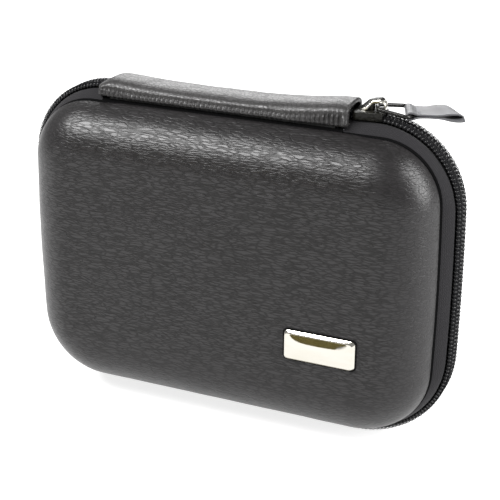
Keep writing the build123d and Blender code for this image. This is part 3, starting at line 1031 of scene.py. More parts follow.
@dataclass
class Zip:
    """The coil zip: two tapes, and a coil of nylon sewn along the edge of each."""

    pitch: float = 1.38  # a number 5 coil
    filament: float = 0.33
    head: float = 0.16  # the coil's inner bends reach this near the middle
    foot: float = 3.02
    coil_low: float = -2.0
    coil_high: float = -0.36
    steps: int = 14  # points on each turn
    thread_rows: tuple[float, float] = (1.75, 2.62)
    tape: float = 0.65
    tape_seat: float = 2.3  # tape under the coil, below the crest
    tape_foot: float = 7.35
    tape_tuck: float = 8.95
    tape_bow: tuple[float, float] = (0.3, 0.7)  # how far the front and back tapes stand proud of straight
    tape_crease: tuple[float, float] = (3.6, 1.98)  # off the plane and below the crest: it slopes from here
    lean: float = 0.7  # how far the coil's turns lean along it
    cord: tuple[float, float] = (1.3, 0.68)  # half width and half height of the cord in the coil
    thread: float = 0.14
    under_right: float = 36.5  # the ends go on under the spine to here
    under_left: float = 44.0
    flex_start: float = 59.5
    flex_slant: tuple[float, float] = (4.27, 3.73)  # the flexed length, along the case and across it
    flex_reach: float = 67.0

    def runs(self) -> list[ZipRun]:
        """List the stretches of the zip.

        Returns:
            One on each half, and four that flex beside the spine.
        """
        flex = TRACK.length_at(self.flex_reach)
        found = []
        for side, half, bodies in ((Side.FRONT, "lid", ("spine", "lid")),
                                   (Side.BACK, "back", ("back", "spine"))):
            found.append(ZipRun(half, side, flex, TRACK.total - flex, f"{half}_zip_%s", body=half))
            for end, low in ((End.RIGHT, self.under_right), (End.LEFT, self.under_left)):
                span = (low, flex) if end is End.RIGHT else (TRACK.total - flex, TRACK.total - low)
                near = (end.value * self.flex_start, 0.0, 0.0)
                far = (end.value * (self.flex_start + self.flex_slant[0]),
                       side.value * self.flex_slant[1], 0.0)
                if side is Side.BACK:
                    near, far = far, near
                label = f"{side.name.lower()}_{end.name.lower()}"
                found.append(ZipRun(f"flex_{label}", side, *span, f"zip_end_%s_{label}", bend=bodies,
                                    bend_start=near, bend_end=far))
        return found

    def gusset(self, run: ZipRun) -> Piece:
        """Weave the tape: flat under the coil, then sloping down to the rim.

        Args:
            run: The stretch of zip.

        Returns:
            The tape.
        """
        count = max(8, int((run.end - run.start) / 1.3))
        s = np.linspace(run.start, run.end, count)
        seat = [(0.62, self.tape_seat), (1.9, self.tape_seat), (3.2, self.tape_seat - 0.1), self.tape_crease]
        tuck = [(self.tape_foot + 0.5, 0.6), (self.tape_foot + 0.9, 1.4), (self.tape_tuck, 1.9)]
        crease, drop_there = self.tape_crease
        layers = []
        for sunk in (0.0, self.tape):
            rows = [FORM.ring(run.side, offset, drop + sunk, FORM.zip_radius - drop - sunk)
                    for offset, drop in seat]
            high = FORM.ring(run.side, crease, drop_there + sunk, FORM.zip_radius - drop_there - sunk)
            low = FORM.ring(run.side, self.tape_foot, FORM.rim_inset + sunk, FORM.rim_radius - sunk)
            for t in np.linspace(0, 1, 8)[1:]:
                row = high + (low - high) * t
                bow = self.tape_bow[run.side is Side.BACK] * math.sin(math.pi * t)
                centre = np.array([0, 0, FORM.height / 2])
                out = (row - centre) * (1, 0, 1)
                rows.append(row + out / np.linalg.norm(out, axis=1)[:, None] * bow)
            for offset, deeper in tuck:
                rows.append(FORM.ring(run.side, offset, FORM.rim_inset + deeper + sunk,
                                      FORM.rim_radius - deeper - sunk))
            layers.append(rows)
        loop = layers[0] + layers[1][::-1]
        grid = np.stack([TRACK.ring_part(row, s) for row in loop], axis=1)
        shape = Shape()
        shape.add_grid(grid, round_columns=True, caps=True)
        painted_shade_rows = range(len(seat) + 6, len(seat) + 13)  # the rows that dive behind the rim: black tape as the groove's painted shade
        quads = len(shape.finishes) - 2
        shape.finishes[:quads] = [int(number % len(loop) in painted_shade_rows) for number in range(quads)]
        return shape.build(f"{run.name}_tape", [ZIP_TAPE, SEAM_TAPE_AND_GROOVE_SHADE], sharp=70)

    def coil(self, run: ZipRun) -> Piece:
        """Wind the coil along its tape, half a turn out of step with the other half's.

        Args:
            run: The stretch of zip.

        Returns:
            The coil, its filler cord and the threads that hold it.
        """
        shift = 0.0 if run.side is Side.FRONT else 0.5
        first, last = (round(length / self.pitch) for length in (run.start, run.end))
        turn = np.arange((last - first) * self.steps + 1) / self.steps * FULL_TURN
        s = self.pitch * (first + shift + (turn + self.lean * np.cos(turn) - self.lean) / FULL_TURN)
        centre, reach = (self.head + self.foot) / 2, (self.foot - self.head) / 2
        across = centre + reach * np.cos(turn)
        middle, rise = (self.coil_high + self.coil_low) / 2, (self.coil_high - self.coil_low) / 2
        lift = middle + rise * np.sin(turn)
        shape = Shape()
        place_on, along, out = TRACK.at(s)
        sideways = np.array([0, run.side.value, 0.0])
        path = place_on + out * lift[:, None] + sideways * across[:, None]
        shape.add_tube(path, self.filament, 7, along)
        s = self.pitch * (np.arange((last - first) * 6 + 1) / 6 + first + shift)
        place_on, along, out = TRACK.at(s)
        turn = np.linspace(0, FULL_TURN, 10, endpoint=False)
        filler = [place_on[::3] + out[::3] * (middle + self.cord[1] * math.sin(a))
                  + sideways * (centre + 0.1 + self.cord[0] * math.cos(a)) for a in turn]
        shape.add_grid(np.stack(filler, axis=1), round_columns=True, caps=True, finish=1)
        for row, step in zip(self.thread_rows, (0.0, math.pi / 3)):
            over = np.cos((s / self.pitch - shift) * FULL_TURN - 1.6)
            ride = self.coil_high + self.filament - 0.1 + 0.11 * over
            weave = row + 0.1 * np.cos((s / self.pitch) * math.pi + step)
            thread = place_on + out * ride[:, None] + sideways * weave[:, None]
            shape.add_tube(thread, self.thread, 5, out, finish=1)
        return shape.build(f"{run.name}_coil", [ZIP_COIL, THREAD], sharp=80)

    def make(self) -> None:
        """Make every stretch of tape and coil."""
        for run in self.runs():
            run.carry(self.gusset(run), ZIP_TAPE, run.node % "tape")
            run.carry(self.coil(run), ZIP_COIL, run.node % "coil")


# ---------------------------------------------------------------- the spine
@dataclass
class Spine:
    """The padded spine: leatherette over foam, gathered along its lower edges."""

    left: float = -48.5
    right: float = 39.5
    foot: float = 108.0
    reach: float = 8.45
    rise_left: float = 7.3
    rise_middle: float = 6.2
    rise_right: float = 8.5
    end_rise: float = 5.4
    bead_low: float = 1.45  # the gathered edge stands this far over the rims
    groove: float = 3.3  # crease above the gathered edge
    gather: float = 1.6  # spacing of the gathers
    gather_depth: float = 0.5
    skin: float = 0.8
    section_step: float = 0.26  # spacing of the sections that draw the gathers
    end_reach: float = 58.0  # the seam goes on this far beside the zip's ends
    # Down the seam, (off the zip's plane, height): from inside the pad, and from under the zip's end.
    hinge_line: tuple[tuple[float, float], ...] = (
        (5.6, 109.8), (6.6, 109.1), (7.3, 108.2), (7.7, 107.3), (8.1, 106.6))
    end_line: tuple[tuple[float, float], ...] = (
        (6.1, 107.8), (6.7, 107.4), (7.2, 106.95), (7.6, 106.5), (8.1, 105.9))

    def swell(self, x: np.ndarray | float) -> tuple[np.ndarray | float, np.ndarray | float]:
        """Say how near places along the spine are to its left and right ends."""
        return np.exp(-(((x - self.left) / 10.0) ** 2)), np.exp(-(((x - self.right) / 13.0) ** 2))

    def rise(self, x: float) -> float:
        """Draw the pad's crown, fuller towards its ends.

        Args:
            x: Place along the spine.

        Returns:
            Its height over the pad's foot.
        """
        middle = (self.left + self.right) / 2
        share = (x - middle) / (self.right - middle)
        end = self.rise_right if share > 0 else self.rise_left
        full = self.rise_middle + (end - self.rise_middle) * min(1.0, abs(share) * 1.12) ** 2.4
        slope = min(max((x - self.left) / 4.6, 0), 1)
        return self.end_rise + (full - self.end_rise) * slope * (2 - slope)

    def section(self, x: float) -> np.ndarray:
        """Draw the pad's outer skin across the case at one place.

        Args:
            x: Place along the spine.

        Returns:
            Points (y, z) from the front foot over the top to the back foot.
        """
        rise = self.rise(x)
        at_left, at_right = self.swell(x)
        groove = min(self.groove + 0.9 * at_left + 2.0 * at_right, rise - 0.9)
        tall = groove - self.bead_low
        low = [(-5.9, 1.5), (-6.9, self.bead_low + 0.05), (-7.95, self.bead_low + 0.08 * tall),
               (-8.5, self.bead_low + 0.28 * tall), (-8.4, self.bead_low + 0.55 * tall),
               (-8.05, self.bead_low + 0.8 * tall), (-7.65, groove + 0.05)]
        spring = groove + 0.15
        arch = [(-7.7 * math.cos(turn) ** 0.7, spring + (rise - groove - 0.15) * math.sin(turn) ** 0.9)
                for turn in np.radians(np.linspace(12, 90, 7))]
        front = smooth_line(low + arch, 3)
        back = front[-2::-1] * (-1, 1)
        return np.concatenate([front, back]) + (0, self.foot)

    def pad(self) -> Piece:
        """Stretch the leatherette over the pad and gather its edges.

        Returns:
            The pad.
        """
        places = np.arange(self.left, self.right + 0.1, self.section_step)
        grid = np.array([np.insert(self.section(float(x)), 0, x, axis=1) for x in places])
        count = grid.shape[1]
        number = np.minimum(np.arange(count), count - 1 - np.arange(count))
        edge = np.exp(-(((number - 12.5) / 6.0) ** 2))  # most on the gathered edge
        at_left, at_right = self.swell(places)
        uneven = wavering(np.array([(x, 0, 0) for x in places]), 3.4, 4.4)
        fullness = 0.75 + 0.5 * wavering(np.array([(x, 9, 0) for x in places]), 2.6, 1.4)
        phase = places * FULL_TURN / self.gather + 2.4 * uneven
        pleat = (2 * ((1 + np.cos(phase)) / 2) ** 1.7 - 0.7) * fullness
        depth = self.gather_depth * (1 + 0.7 * at_left + 0.9 * at_right) * pleat + 0.10 * uneven
        out = grid[:, :, 1:] - (0, self.foot + 1.4)
        out /= np.linalg.norm(out, axis=2)[:, :, None]
        grid[:, :, 1:] += out * (depth[:, None] * edge[None, :])[:, :, None]
        wide = np.abs(grid[:, :, 1]) > self.reach + 0.1
        grid[:, :, 1] = np.where(wide, np.sign(grid[:, :, 1]) * (self.reach + 0.1), grid[:, :, 1])
        grid[:, :, 2] += (0.13 * wavering(grid.reshape(-1, 3), 7.0, 6.6)).reshape(grid.shape[:2])
        shape = Shape()
        shape.add_grid(self.close_ends(grid))
        piece = shape.build("spine_pad", [STRETCHED_AND_LIT_LEATHERETTE], sharp=75)
        settle(piece, "SOLIDIFY", thickness=self.skin * MM, offset=-1.0)
        place(piece, STRETCHED_AND_LIT_LEATHERETTE, "spine", "spine_leather")
        return piece

    def close_ends(self, grid: np.ndarray) -> np.ndarray:
        """Turn the leatherette in at both ends, over the zip that runs under them.

        Args:
            grid: Sections along the pad.

        Returns:
            The sections with the folded ends added.
        """
        middle = np.array([0, 0, self.foot + 4.4])
        ends = []
        for row, away in ((grid[0], -1), (grid[-1], 1)):
            folded = []
            for share, reach in ((0.985, 0.3), (0.95, 0.55), (0.86, 0.7), (0.72, 0.72)):
                turned = middle + (row - middle) * (1, share, share)
                turned[:, 0] += away * reach
                folded.append(turned)
            ends.append(folded)
        return np.concatenate([np.array(ends[0][::-1]), grid, np.array(ends[1])])

    def seam(self, side: Side, label: str, span: tuple[float, float],
             line: tuple[tuple[float, float], ...]) -> Piece:
        """Sew the live hinge: a strip of tape from the spine's side to a half's rim.

        Args:
            side: The half that it joins.
            label: The strip's name.
            span: Its ends along the case.
            line: Points (y, z) down the front strip.

        Returns:
            The strip.
        """
        places = np.arange(span[0], span[1], 0.6)
        profile = smooth_line(list(line), 3)
        pucker = 0.1 * np.cos(places * FULL_TURN / self.gather)
        past = np.maximum(np.abs(places) - FORM.corner[0], 0)  # the rim's corners curve down
        drop = FORM.rim_radius - np.sqrt(FORM.rim_radius ** 2 - past ** 2)
        grid = np.array([[(x, side.value * (y + dip * 0.3), z + dip - fall) for y, z in profile]
                         for x, dip, fall in zip(places, pucker, drop)])
        shape = Shape()
        shape.add_grid(grid)
        # The black tape also paints the shade in the gap under the pad's gathered edge.
        piece = shape.build(f"{label}_{side.name.lower()}", [SEAM_TAPE_AND_GROOVE_SHADE])
        settle(piece, "SOLIDIFY", thickness=0.5 * MM, offset=0.0)
        if side is Side.FRONT:
            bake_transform(piece)
        else:
            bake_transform(piece)
        log.info("%s flexes at its hinge", piece.name)
        return piece

    def lining_strip(self) -> Piece:
        """Cover the pad's underside with the knit lining.

        Returns:
            The strip of lining.
        """
        places = np.linspace(self.left + 0.5, self.right - 0.5, 70)
        across = np.linspace(-7.1, 7.1, 13)
        rows = []
        for x in places:
            sag = 0.12 * math.sin(x * 0.7) + 0.08 * math.sin(x * 1.9)
            upper = [(x, y, self.foot + 0.75 - 0.1 * (y / 7) ** 2) for y in across]
            lower = [(x, y, self.foot + 0.05 + sag * (1 - (y / 7.1) ** 2)) for y in across[::-1]]
            rows.append(upper + lower)
        shape = Shape()
        shape.add_grid(np.array(rows), round_columns=True, caps=True)
        piece = shape.build("spine_lining_cloth", [LINING], sharp=70)
        return place(piece, LINING, "spine", "spine_lining")

    def make(self) -> None:
        """Make the spine's pieces, and dress the foam that the CAD gives."""
        self.pad()
        for side in Side:
            self.seam(side, "spine_seam", (self.left + 0.8, self.right - 0.6), self.hinge_line)
            self.seam(side, "zip_seam_left", (-self.end_reach, self.left + 1.6), self.end_line)
            self.seam(side, "zip_seam_right", (self.right - 1.6, self.end_reach), self.end_line)
        self.lining_strip()
        dress("spine_core", FOAM)


# ---------------------------------------------------------------- the slider and its pull
@dataclass
class Slider:
    """The die-cast slider: two plates round the coil, a neck, and the bridge for the pull."""

    front: float = 40.3
    rear: float = 50.6
    half_front: float = 4.6
    half_rear: float = 3.9
    plate_low: float = 113.3
    plate_top: float = 114.2
    flange_low: float = 111.5
    keel_top: float = 108.8

    def plan(self, grow: float, scale: float = 1.0) -> np.ndarray:
        """Outline the plate from above, wider at the end that parts the coil.

        Args:
            grow: Distance outside the plain outline.
            scale: Share of the width.

        Returns:
            Points (x, y) anticlockwise.
        """
        a, b = self.half_front * scale, self.half_rear * scale
        half = [(self.rear, 0), (self.rear - 0.1, b * 0.55), (self.rear - 0.7, b * 0.9),
                (self.rear - 2.2, b), ((self.front + self.rear) / 2, (a + b) / 2),
                (self.front + 2.0, a), (self.front + 0.6, a * 0.9), (self.front + 0.05, a * 0.55),
                (self.front + 0.5, 0)]
        corners = half + [(x, -y) for x, y in half[-2:0:-1]]
        line = smooth_line(corners, 4, closed=True)
        away = line - ((self.front + self.rear) / 2, 0)
        return line + away / np.linalg.norm(away, axis=1)[:, None] * grow

    def stack(self, shape: Shape, levels: list[tuple[float, float, float]]) -> None:
        """Pile outlines into a closed plate.

        Args:
            shape: What it is added to.
            levels: Height, growth and width share of each outline.
        """
        rings = [np.insert(self.plan(grow, scale), 2, z, axis=1) for z, grow, scale in levels]
        for low, high in zip(rings[:-1], rings[1:]):
            shape.add_grid(np.array([low, high]), round_columns=True)
        for ring in (rings[0], rings[-1]):
            middle = np.array([(self.front + self.rear) / 2, 0, ring[0, 2]])
            inner = [middle + (ring - middle) * t for t in (1.0, 0.6, 0.2, 0.01)]
            shape.add_grid(np.array(inner), round_columns=True)

    def plates(self) -> Piece:
        """Cast the two plates, the flanges and the neck.

        Returns:
            The casting.
        """
        shape = Shape()
        self.stack(shape, [(self.plate_low, -0.1, 1.0), (self.plate_low + 0.15, 0, 1.0),
                           (self.plate_top - 0.3, 0, 1.0), (self.plate_top - 0.08, -0.12, 1.0),
                           (self.plate_top, -0.3, 1.0)])
        outline = self.plan(0)
        for sign in (-1, 1):
            edge = outline[(np.sign(outline[:, 1]) == sign) & (np.abs(outline[:, 1]) > 2.6)]
            edge = edge[np.argsort(edge[:, 0])]
            loop = []
            for x, y in edge:
                inner = y - sign * 0.75
                loop.append([(x, y, self.plate_low + 0.2), (x, y, self.flange_low + 0.2),
                             (x, y - sign * 0.15, self.flange_low), (x, inner + sign * 0.1, self.flange_low),
                             (x, inner, self.flange_low + 0.2), (x, inner, self.plate_low + 0.2)])
            shape.add_grid(np.array(loop), round_columns=True, caps=True)
        self.stack(shape, [(self.keel_top - 0.9, -0.3, 0.78), (self.keel_top - 0.7, 0, 0.78),
                           (self.keel_top - 0.15, 0, 0.78), (self.keel_top, -0.15, 0.78)])
        neck = [(self.front + 0.4, -0.3), (self.front + 3.6, -0.12),
                (self.front + 3.6, 0.12), (self.front + 0.4, 0.3)]
        column = [[(x, y, z) for x, y in neck] for z in (self.keel_top - 0.2, self.plate_low + 0.3)]
        shape.add_grid(np.array(column), round_columns=True, caps=True)
        piece = shape.build("slider_casting", [GUNMETAL], weld=0.002, sharp=38)
        return place(piece, GUNMETAL, "slider", "slider_body")

    def bridge(self) -> Piece:
        """Cast the bridge: a domed leaf whose bevel is painted bright as a highlight, curled down to its rear
        post.

        Returns:
            The bridge.
        """
        # Along the case: the ridge's height, and the height and reach of the edges.
        stations = [(40.75, 113.8, 113.6, 0.9), (41.9, 114.7, 113.85, 1.75), (43.1, 115.9, 114.1, 2.4),
                    (44.6, 117.25, 114.75, 2.5), (45.5, 117.7, 115.75, 1.95), (46.4, 118.05, 116.75, 1.65),
                    (47.8, 118.35, 117.05, 1.6), (49.0, 118.25, 117.35, 1.5), (49.8, 117.6, 117.0, 1.3)]
        grid = []
        for x, ridge, edge, half in smooth_line(stations, 4):
            lift = ridge - edge
            dome = [(-half * 0.86, edge + 0.42 + lift * 0.16), (-half * 0.55, edge + 0.42 + lift * 0.6),
                    (0, ridge + 0.05)]
            rows = [(-half * 0.9, edge - 0.45), (-half, edge - 0.1), (-half * 0.96, edge + 0.25), *dome]
            rows += [(-y, z) for y, z in rows[-2::-1]]
            rows += [(half * 0.55, min(edge - 0.2 + lift * 0.5, ridge - 0.55)), (0, ridge - 0.6),
                     (-half * 0.55, min(edge - 0.2 + lift * 0.5, ridge - 0.55))]
            grid.append([(x, y, z) for y, z in rows])
        grid = np.array(grid)
        bright = {0, 1, 2, 8, 9, 10}  # the edge columns, bright nickel as a painted highlight along the bevel
        shape = Shape()
        count = grid.shape[1]
        for column in range(count):
            pair = grid[:, (column, (column + 1) % count)]
            shape.add_grid(pair, finish=int(column in bright))
        for row in (grid[0], grid[-1]):
            middle = row.mean(axis=0)
            shape.add_grid(np.array([row, middle + (row - middle) * 0.02]), round_columns=True, finish=1)
        web = [[(x, side * 1.3, z) for side, z in ((-1, 114.0), (1, 114.0), (1, roof), (-1, roof))]
               for x, roof in ((41.4, 114.1), (42.6, 114.9), (43.8, 116.0), (45.0, 116.8), (46.35, 117.1))]
        shape.add_grid(np.array(web), round_columns=True, caps=True)
        self.post(shape)
        piece = shape.build("slider_leaf_bridge", [GUNMETAL, NICKEL_AND_PAINTED_HIGHLIGHT], weld=0.003, sharp=34)
        return place(piece, NICKEL_AND_PAINTED_HIGHLIGHT, "slider", "slider_bridge")

    def post(self, shape: Shape) -> None:
        """Add the bright post that closes the bridge behind the pull.

        Args:
            shape: The bridge.
        """
        path = smooth_line([(49.2, 117.5), (49.9, 117.0), (50.15, 116.0), (50.1, 115.0), (49.9, 114.05)], 4)
        half = np.interp(np.linspace(0, 1, len(path)), [0, 0.5, 1], [1.25, 1.15, 1.4])
        turn = np.linspace(0, FULL_TURN, 16, endpoint=False)
        rows = []
        for (x, z), wide in zip(path, half):
            y = wide * np.sign(np.cos(turn)) * np.abs(np.cos(turn)) ** 0.6
            along = 0.48 * np.sign(np.sin(turn)) * np.abs(np.sin(turn)) ** 0.6
            rows.append(np.stack([x + along, y, np.full(16, z)], axis=1))
        shape.add_grid(np.array(rows), round_columns=True, caps=True, finish=1)

    def make(self) -> None:
        """Make the slider's pieces."""
        self.plates()
        self.bridge()


@dataclass
class Pull:
    """The pull: a plated wire ring, and a satin ribbon folded round its far bar."""

    bar: tuple[float, float, float] = (56.881, 3.387, 113.808)
    yaw: float = 20.0
    width: float = 10.4
    ribbon: float = 0.45
    length: float = 16.6
    skew: float = 0.36  # the ribbon is folded on the bias: its front edge reaches further
    cut: float = 36.5  # length of the ribbon before it is folded
    slip: float = 2.4  # the lower layer comes out this far to the front of the upper one at the loop
    stitch_spot: float = 3.4

    def spread(self, line: np.ndarray, across: float) -> np.ndarray:
        """Place a line of the ribbon's side view at one distance across it.

        Args:
            line: Points (along, up) from the bar.
            across: Distance towards the back.

        Returns:
            Points (x, y, z).
        """
        turn = math.radians(self.yaw)
        share = np.clip(line[:, 0] / self.length, 0, 1)
        across = across - self.slip * np.clip(-line[:, 1] / 0.5, 0, 1) * share**2
        along = line[:, 0] - self.skew * (across + self.width / 2) * np.minimum(1.0, share * 1.6)
        return np.stack([self.bar[0] + along * math.cos(turn) - across * math.sin(turn),
                         self.bar[1] + along * math.sin(turn) + across * math.cos(turn),
                         self.bar[2] + line[:, 1]], axis=1)

    def strap(self) -> Piece:
        """Fold the ribbon round the ring's bar and into a hollow loop at its far end.

        Returns:
            The ribbon.
        """
        end = self.length
        corners = [(-1.1, 0.0), (-0.5, 0.95), (0.9, 0.95), (2.6, 0.42), (5.5, 0.3), (8.6, 0.3),
                   (10.6, 0.5), (12.4, 0.8), (14.6, 0.8), (end - 0.5, 0.55), (end, 0.05),
                   (end - 0.5, -0.5), (14.2, -0.85), (12.0, -0.7), (10.4, -0.4), (8.6, -0.3),
                   (5.5, -0.3), (2.6, -0.42), (0.9, -0.95), (-0.5, -0.95)]
        line = smooth_line(corners, 4, closed=True)
        rows = []
        for share in np.linspace(-1, 1, 15):
            bow = 0.06 * math.sin(3.0 * share) + 0.05 * np.sin(line[:, 0] * 0.5 + share)
            rows.append(self.spread(line + np.stack([0 * bow, bow], axis=1), share * self.width / 2))
        shape = Shape()
        shape.add_grid(np.array(rows), round_columns=True)
        piece = shape.build("pull_ribbon", [RIBBON], sharp=60)
        settle(piece, "SOLIDIFY", thickness=self.ribbon * MM, offset=0.0)
        return place(piece, RIBBON, "pull_strap", "pull_strap")

    def stitches(self) -> Piece:
        """Sew the bar tack that closes the ribbon round the ring.

        Returns:
            The stitches.
        """
        shape = Shape()
        for level in (1, -1):
            for across in np.arange(-4.0, 4.1, 1.0):
                path = []
                for share in np.linspace(0, 1, 7):
                    lift = level * (0.34 + self.ribbon / 2 + 0.12 * math.sin(math.pi * share))
                    spot = np.array([[self.stitch_spot - 0.35 + 0.7 * share, lift]])
                    path.append(self.spread(spot, across + (share - 0.5) * 0.9)[0])
                shape.add_tube(np.array(path), 0.12, 6, np.array([0, 0, 1.0]))
        piece = shape.build("ribbon_bar_tack", [GREY_THREAD], sharp=80)
        return place(piece, GREY_THREAD, "pull_strap", "strap_stitches")

    def make(self) -> None:
        """Make the ribbon and its stitches, and dress the ring that the CAD gives."""
        ribbon, tack = self.strap(), self.stitches()
        dress("pull_link", BLACK_WIRE)


# ---------------------------------------------------------------- the badge
@dataclass
class Badge:
    """The plain chrome plate on the front: bevelled, with a slightly domed face."""

    x: float = 38.4
    z: float = 38.2
    width: float = 24.6
    height: float = 10.3
    radius: float = 1.4
    rise: float = 0.9
    lean: tuple[float, float] = (-0.2, -0.35)  # the face is set over: wider bevels at top and right
    face_inset: float = 0.76  # the face begins this far inside the edge
    face_drop: float = 0.06  # and this far below the bevel's crest
    dome: float = 1.0  # how much higher its middle is
    pad: float = 0.5  # the black pad shows round it by this much: a painted shade line at its edge

    def outline(self, inset: float) -> np.ndarray:
        """Outline the plate.

        Args:
            inset: Distance inside its edge.

        Returns:
            Points (x, z).
        """
        radius = max(self.radius - inset * 0.55, 0.25)
        half_w, half_h = self.width / 2 - inset - radius, self.height / 2 - inset - radius
        ring = []
        for number, (sx, sz) in enumerate(((1, 1), (-1, 1), (-1, -1), (1, -1))):
            for turn in np.radians(np.linspace(0, 90, 7) + 90 * number):
                ring.append((self.x + sx * half_w + radius * math.cos(turn),
                             self.z + sz * half_h + radius * math.sin(turn)))
            for share in np.linspace(0, 1, 10)[1:-1]:
                if number % 2 == 0:
                    ring.append((self.x + sx * half_w * (1 - 2 * share), self.z + sz * (half_h + radius)))
                else:
                    ring.append((self.x + sx * (half_w + radius), self.z + sz * half_h * (1 - 2 * share)))
        return np.array(ring)

    def make(self) -> Piece:
        """Stamp and plate the badge, and stick it on its pad.

        Returns:
            The badge.
        """
        levels = [(0.15, -0.25), (0.0, 0.0), (0.0, 0.1), (0.04, 0.16), (0.58, self.rise - 0.03),
                  (0.64, self.rise), (0.7, self.rise - 0.02), (self.face_inset, self.rise - self.face_drop)]
        rings = []
        for inset, lift in levels:
            ring = np.insert(self.outline(inset), 1, -FORM.depth / 2 - lift, axis=1)
            rings.append(ring + np.array([self.lean[0], 0, self.lean[1]]) * min(max(inset / 0.6, 0), 1))
        edge = rings[-1]
        centre_x, centre_z = self.x + self.lean[0], self.z + self.lean[1]
        half_w, half_h = self.width / 2 - self.face_inset, self.height / 2 - self.face_inset
        middle = edge.copy()
        middle[:, 0] = np.clip(edge[:, 0], centre_x - half_w + half_h, centre_x + half_w - half_h)
        middle[:, 2] = centre_z
        for t in np.linspace(0, 1, 13)[1:]:
            ring = edge + (middle - edge) * t
            crown = ((1 - ((ring[:, 0] - centre_x) / half_w) ** 4)
                     * (1 - ((ring[:, 2] - centre_z) / half_h) ** 2))
            ring[:, 1] = -FORM.depth / 2 - (self.rise - self.face_drop + self.dome * crown)
            rings.append(ring)
        shape = Shape()
        shape.add_grid(np.array(rings), round_columns=True)
        # The pad's rim outside the plate is painted shade round its edge.
        steps = ((-self.pad, -0.7), (-self.pad, 0.02), (-self.pad + 0.12, 0.12), (0.4, 0.12))
        pad = [np.insert(self.outline(inset), 1, -FORM.depth / 2 - lift, axis=1) for inset, lift in steps]
        shape.add_grid(np.array(pad), round_columns=True, finish=1)
        piece = shape.build("badge_plate_chrome", [CHROME, PAD_FOAM_AND_EDGE_SHADE], weld=0.004, sharp=28)
        return place(piece, CHROME, "lid", "badge_plate")


# ---------------------------------------------------------------- inside the case
@dataclass
class NetPocket:
    """The net pocket in the lid, with an elastic hem along its mouth."""

    plane: float = 13.4
    hem_low: float = 62.0
    hem_top: float = 70.0
    spacing: float = 3.0
    yarn: float = 0.24
    inset: float = 11.2
    radius: float = 18.8
    flat: tuple[float, float] = (0.131, 0.053)  # the cut, in metres
    yarn_area: float = 0.0  # half of the yarn's surface, since the net is mostly holes

    def inside(self, x: float, z: float) -> bool:
        """Say whether a place lies in the pocket's outline and under its hem.

        Args:
            x: Place along the case.
            z: Height.

        Returns:
            True where there is net.
        """
        half_w = FORM.width / 2 - FORM.bulge - self.inset
        half_h = FORM.height / 2 - self.inset
        height = z - FORM.height / 2
        half_w += FORM.bulge * (1 - (height / half_h) ** 2)
        dx = max(abs(x) - (half_w - self.radius), 0)
        dz = max(-height - (half_h - self.radius), 0)
        return math.hypot(dx, dz) < self.radius and z < self.hem_low + 0.8

    def net(self) -> Piece:
        """Knit the net from two sets of crossing yarns, and measure them.

        Returns:
            The net.
        """
        shape = Shape()
        step = 0.75
        length = 0.0
        for sign in (1, -1):
            for start in np.arange(-140, 140, self.spacing * math.sqrt(2)):
                run = []
                for t in np.arange(0, 62, step):
                    x, z = start + sign * t, 8.0 + t
                    if self.inside(x, z):
                        wave = 0.14 * sign * math.cos(FULL_TURN * t / (self.spacing * math.sqrt(2)))
                        run.append((x, -self.plane + wave, z))
                    elif len(run) > 2:
                        break
                if len(run) > 2:
                    path = np.array(run)
                    length += float(np.linalg.norm(np.diff(path, axis=0), axis=1).sum())
                    shape.add_tube(path, self.yarn, 6, np.array([0, 1.0, 0]))
        piece = shape.build("pocket_net", [NET_YARN], sharp=80)
        self.yarn_area = length * math.pi * self.yarn * MM**2
        return place(piece, NET_YARN, "lid", "pocket_mesh")

    def hem(self) -> Piece:
        """Gather the elastic hem.

        Returns:
            The hem.
        """
        places = np.arange(-66.6, 66.7, 0.45)
        rows = []
        for x in places:
            pucker = 0.14 * math.cos(x * FULL_TURN / 2.1) + 0.06 * math.sin(x * 1.7)
            loop = []
            for turn in np.linspace(0, FULL_TURN, 28, endpoint=False):
                c, s = math.cos(turn), math.sin(turn)
                height = (self.hem_low + self.hem_top) / 2 + 3.95 * np.sign(s) * abs(s) ** 0.5
                ribs = 0.07 * math.cos(height * FULL_TURN / 1.3)
                thick = 0.55 * np.sign(c) * abs(c) ** 0.45
                loop.append((x, -self.plane + thick + (pucker + ribs) * np.sign(c), height))
            rows.append(loop)
        shape = Shape()
        shape.add_grid(np.array(rows), round_columns=True, caps=True)
        piece = shape.build("pocket_elastic_hem", [ELASTIC], sharp=80)
        return place(piece, ELASTIC, "lid", "pocket_hem")

    def make(self) -> None:
        """Make the pocket's pieces."""
        net, hem = self.net(), self.hem()


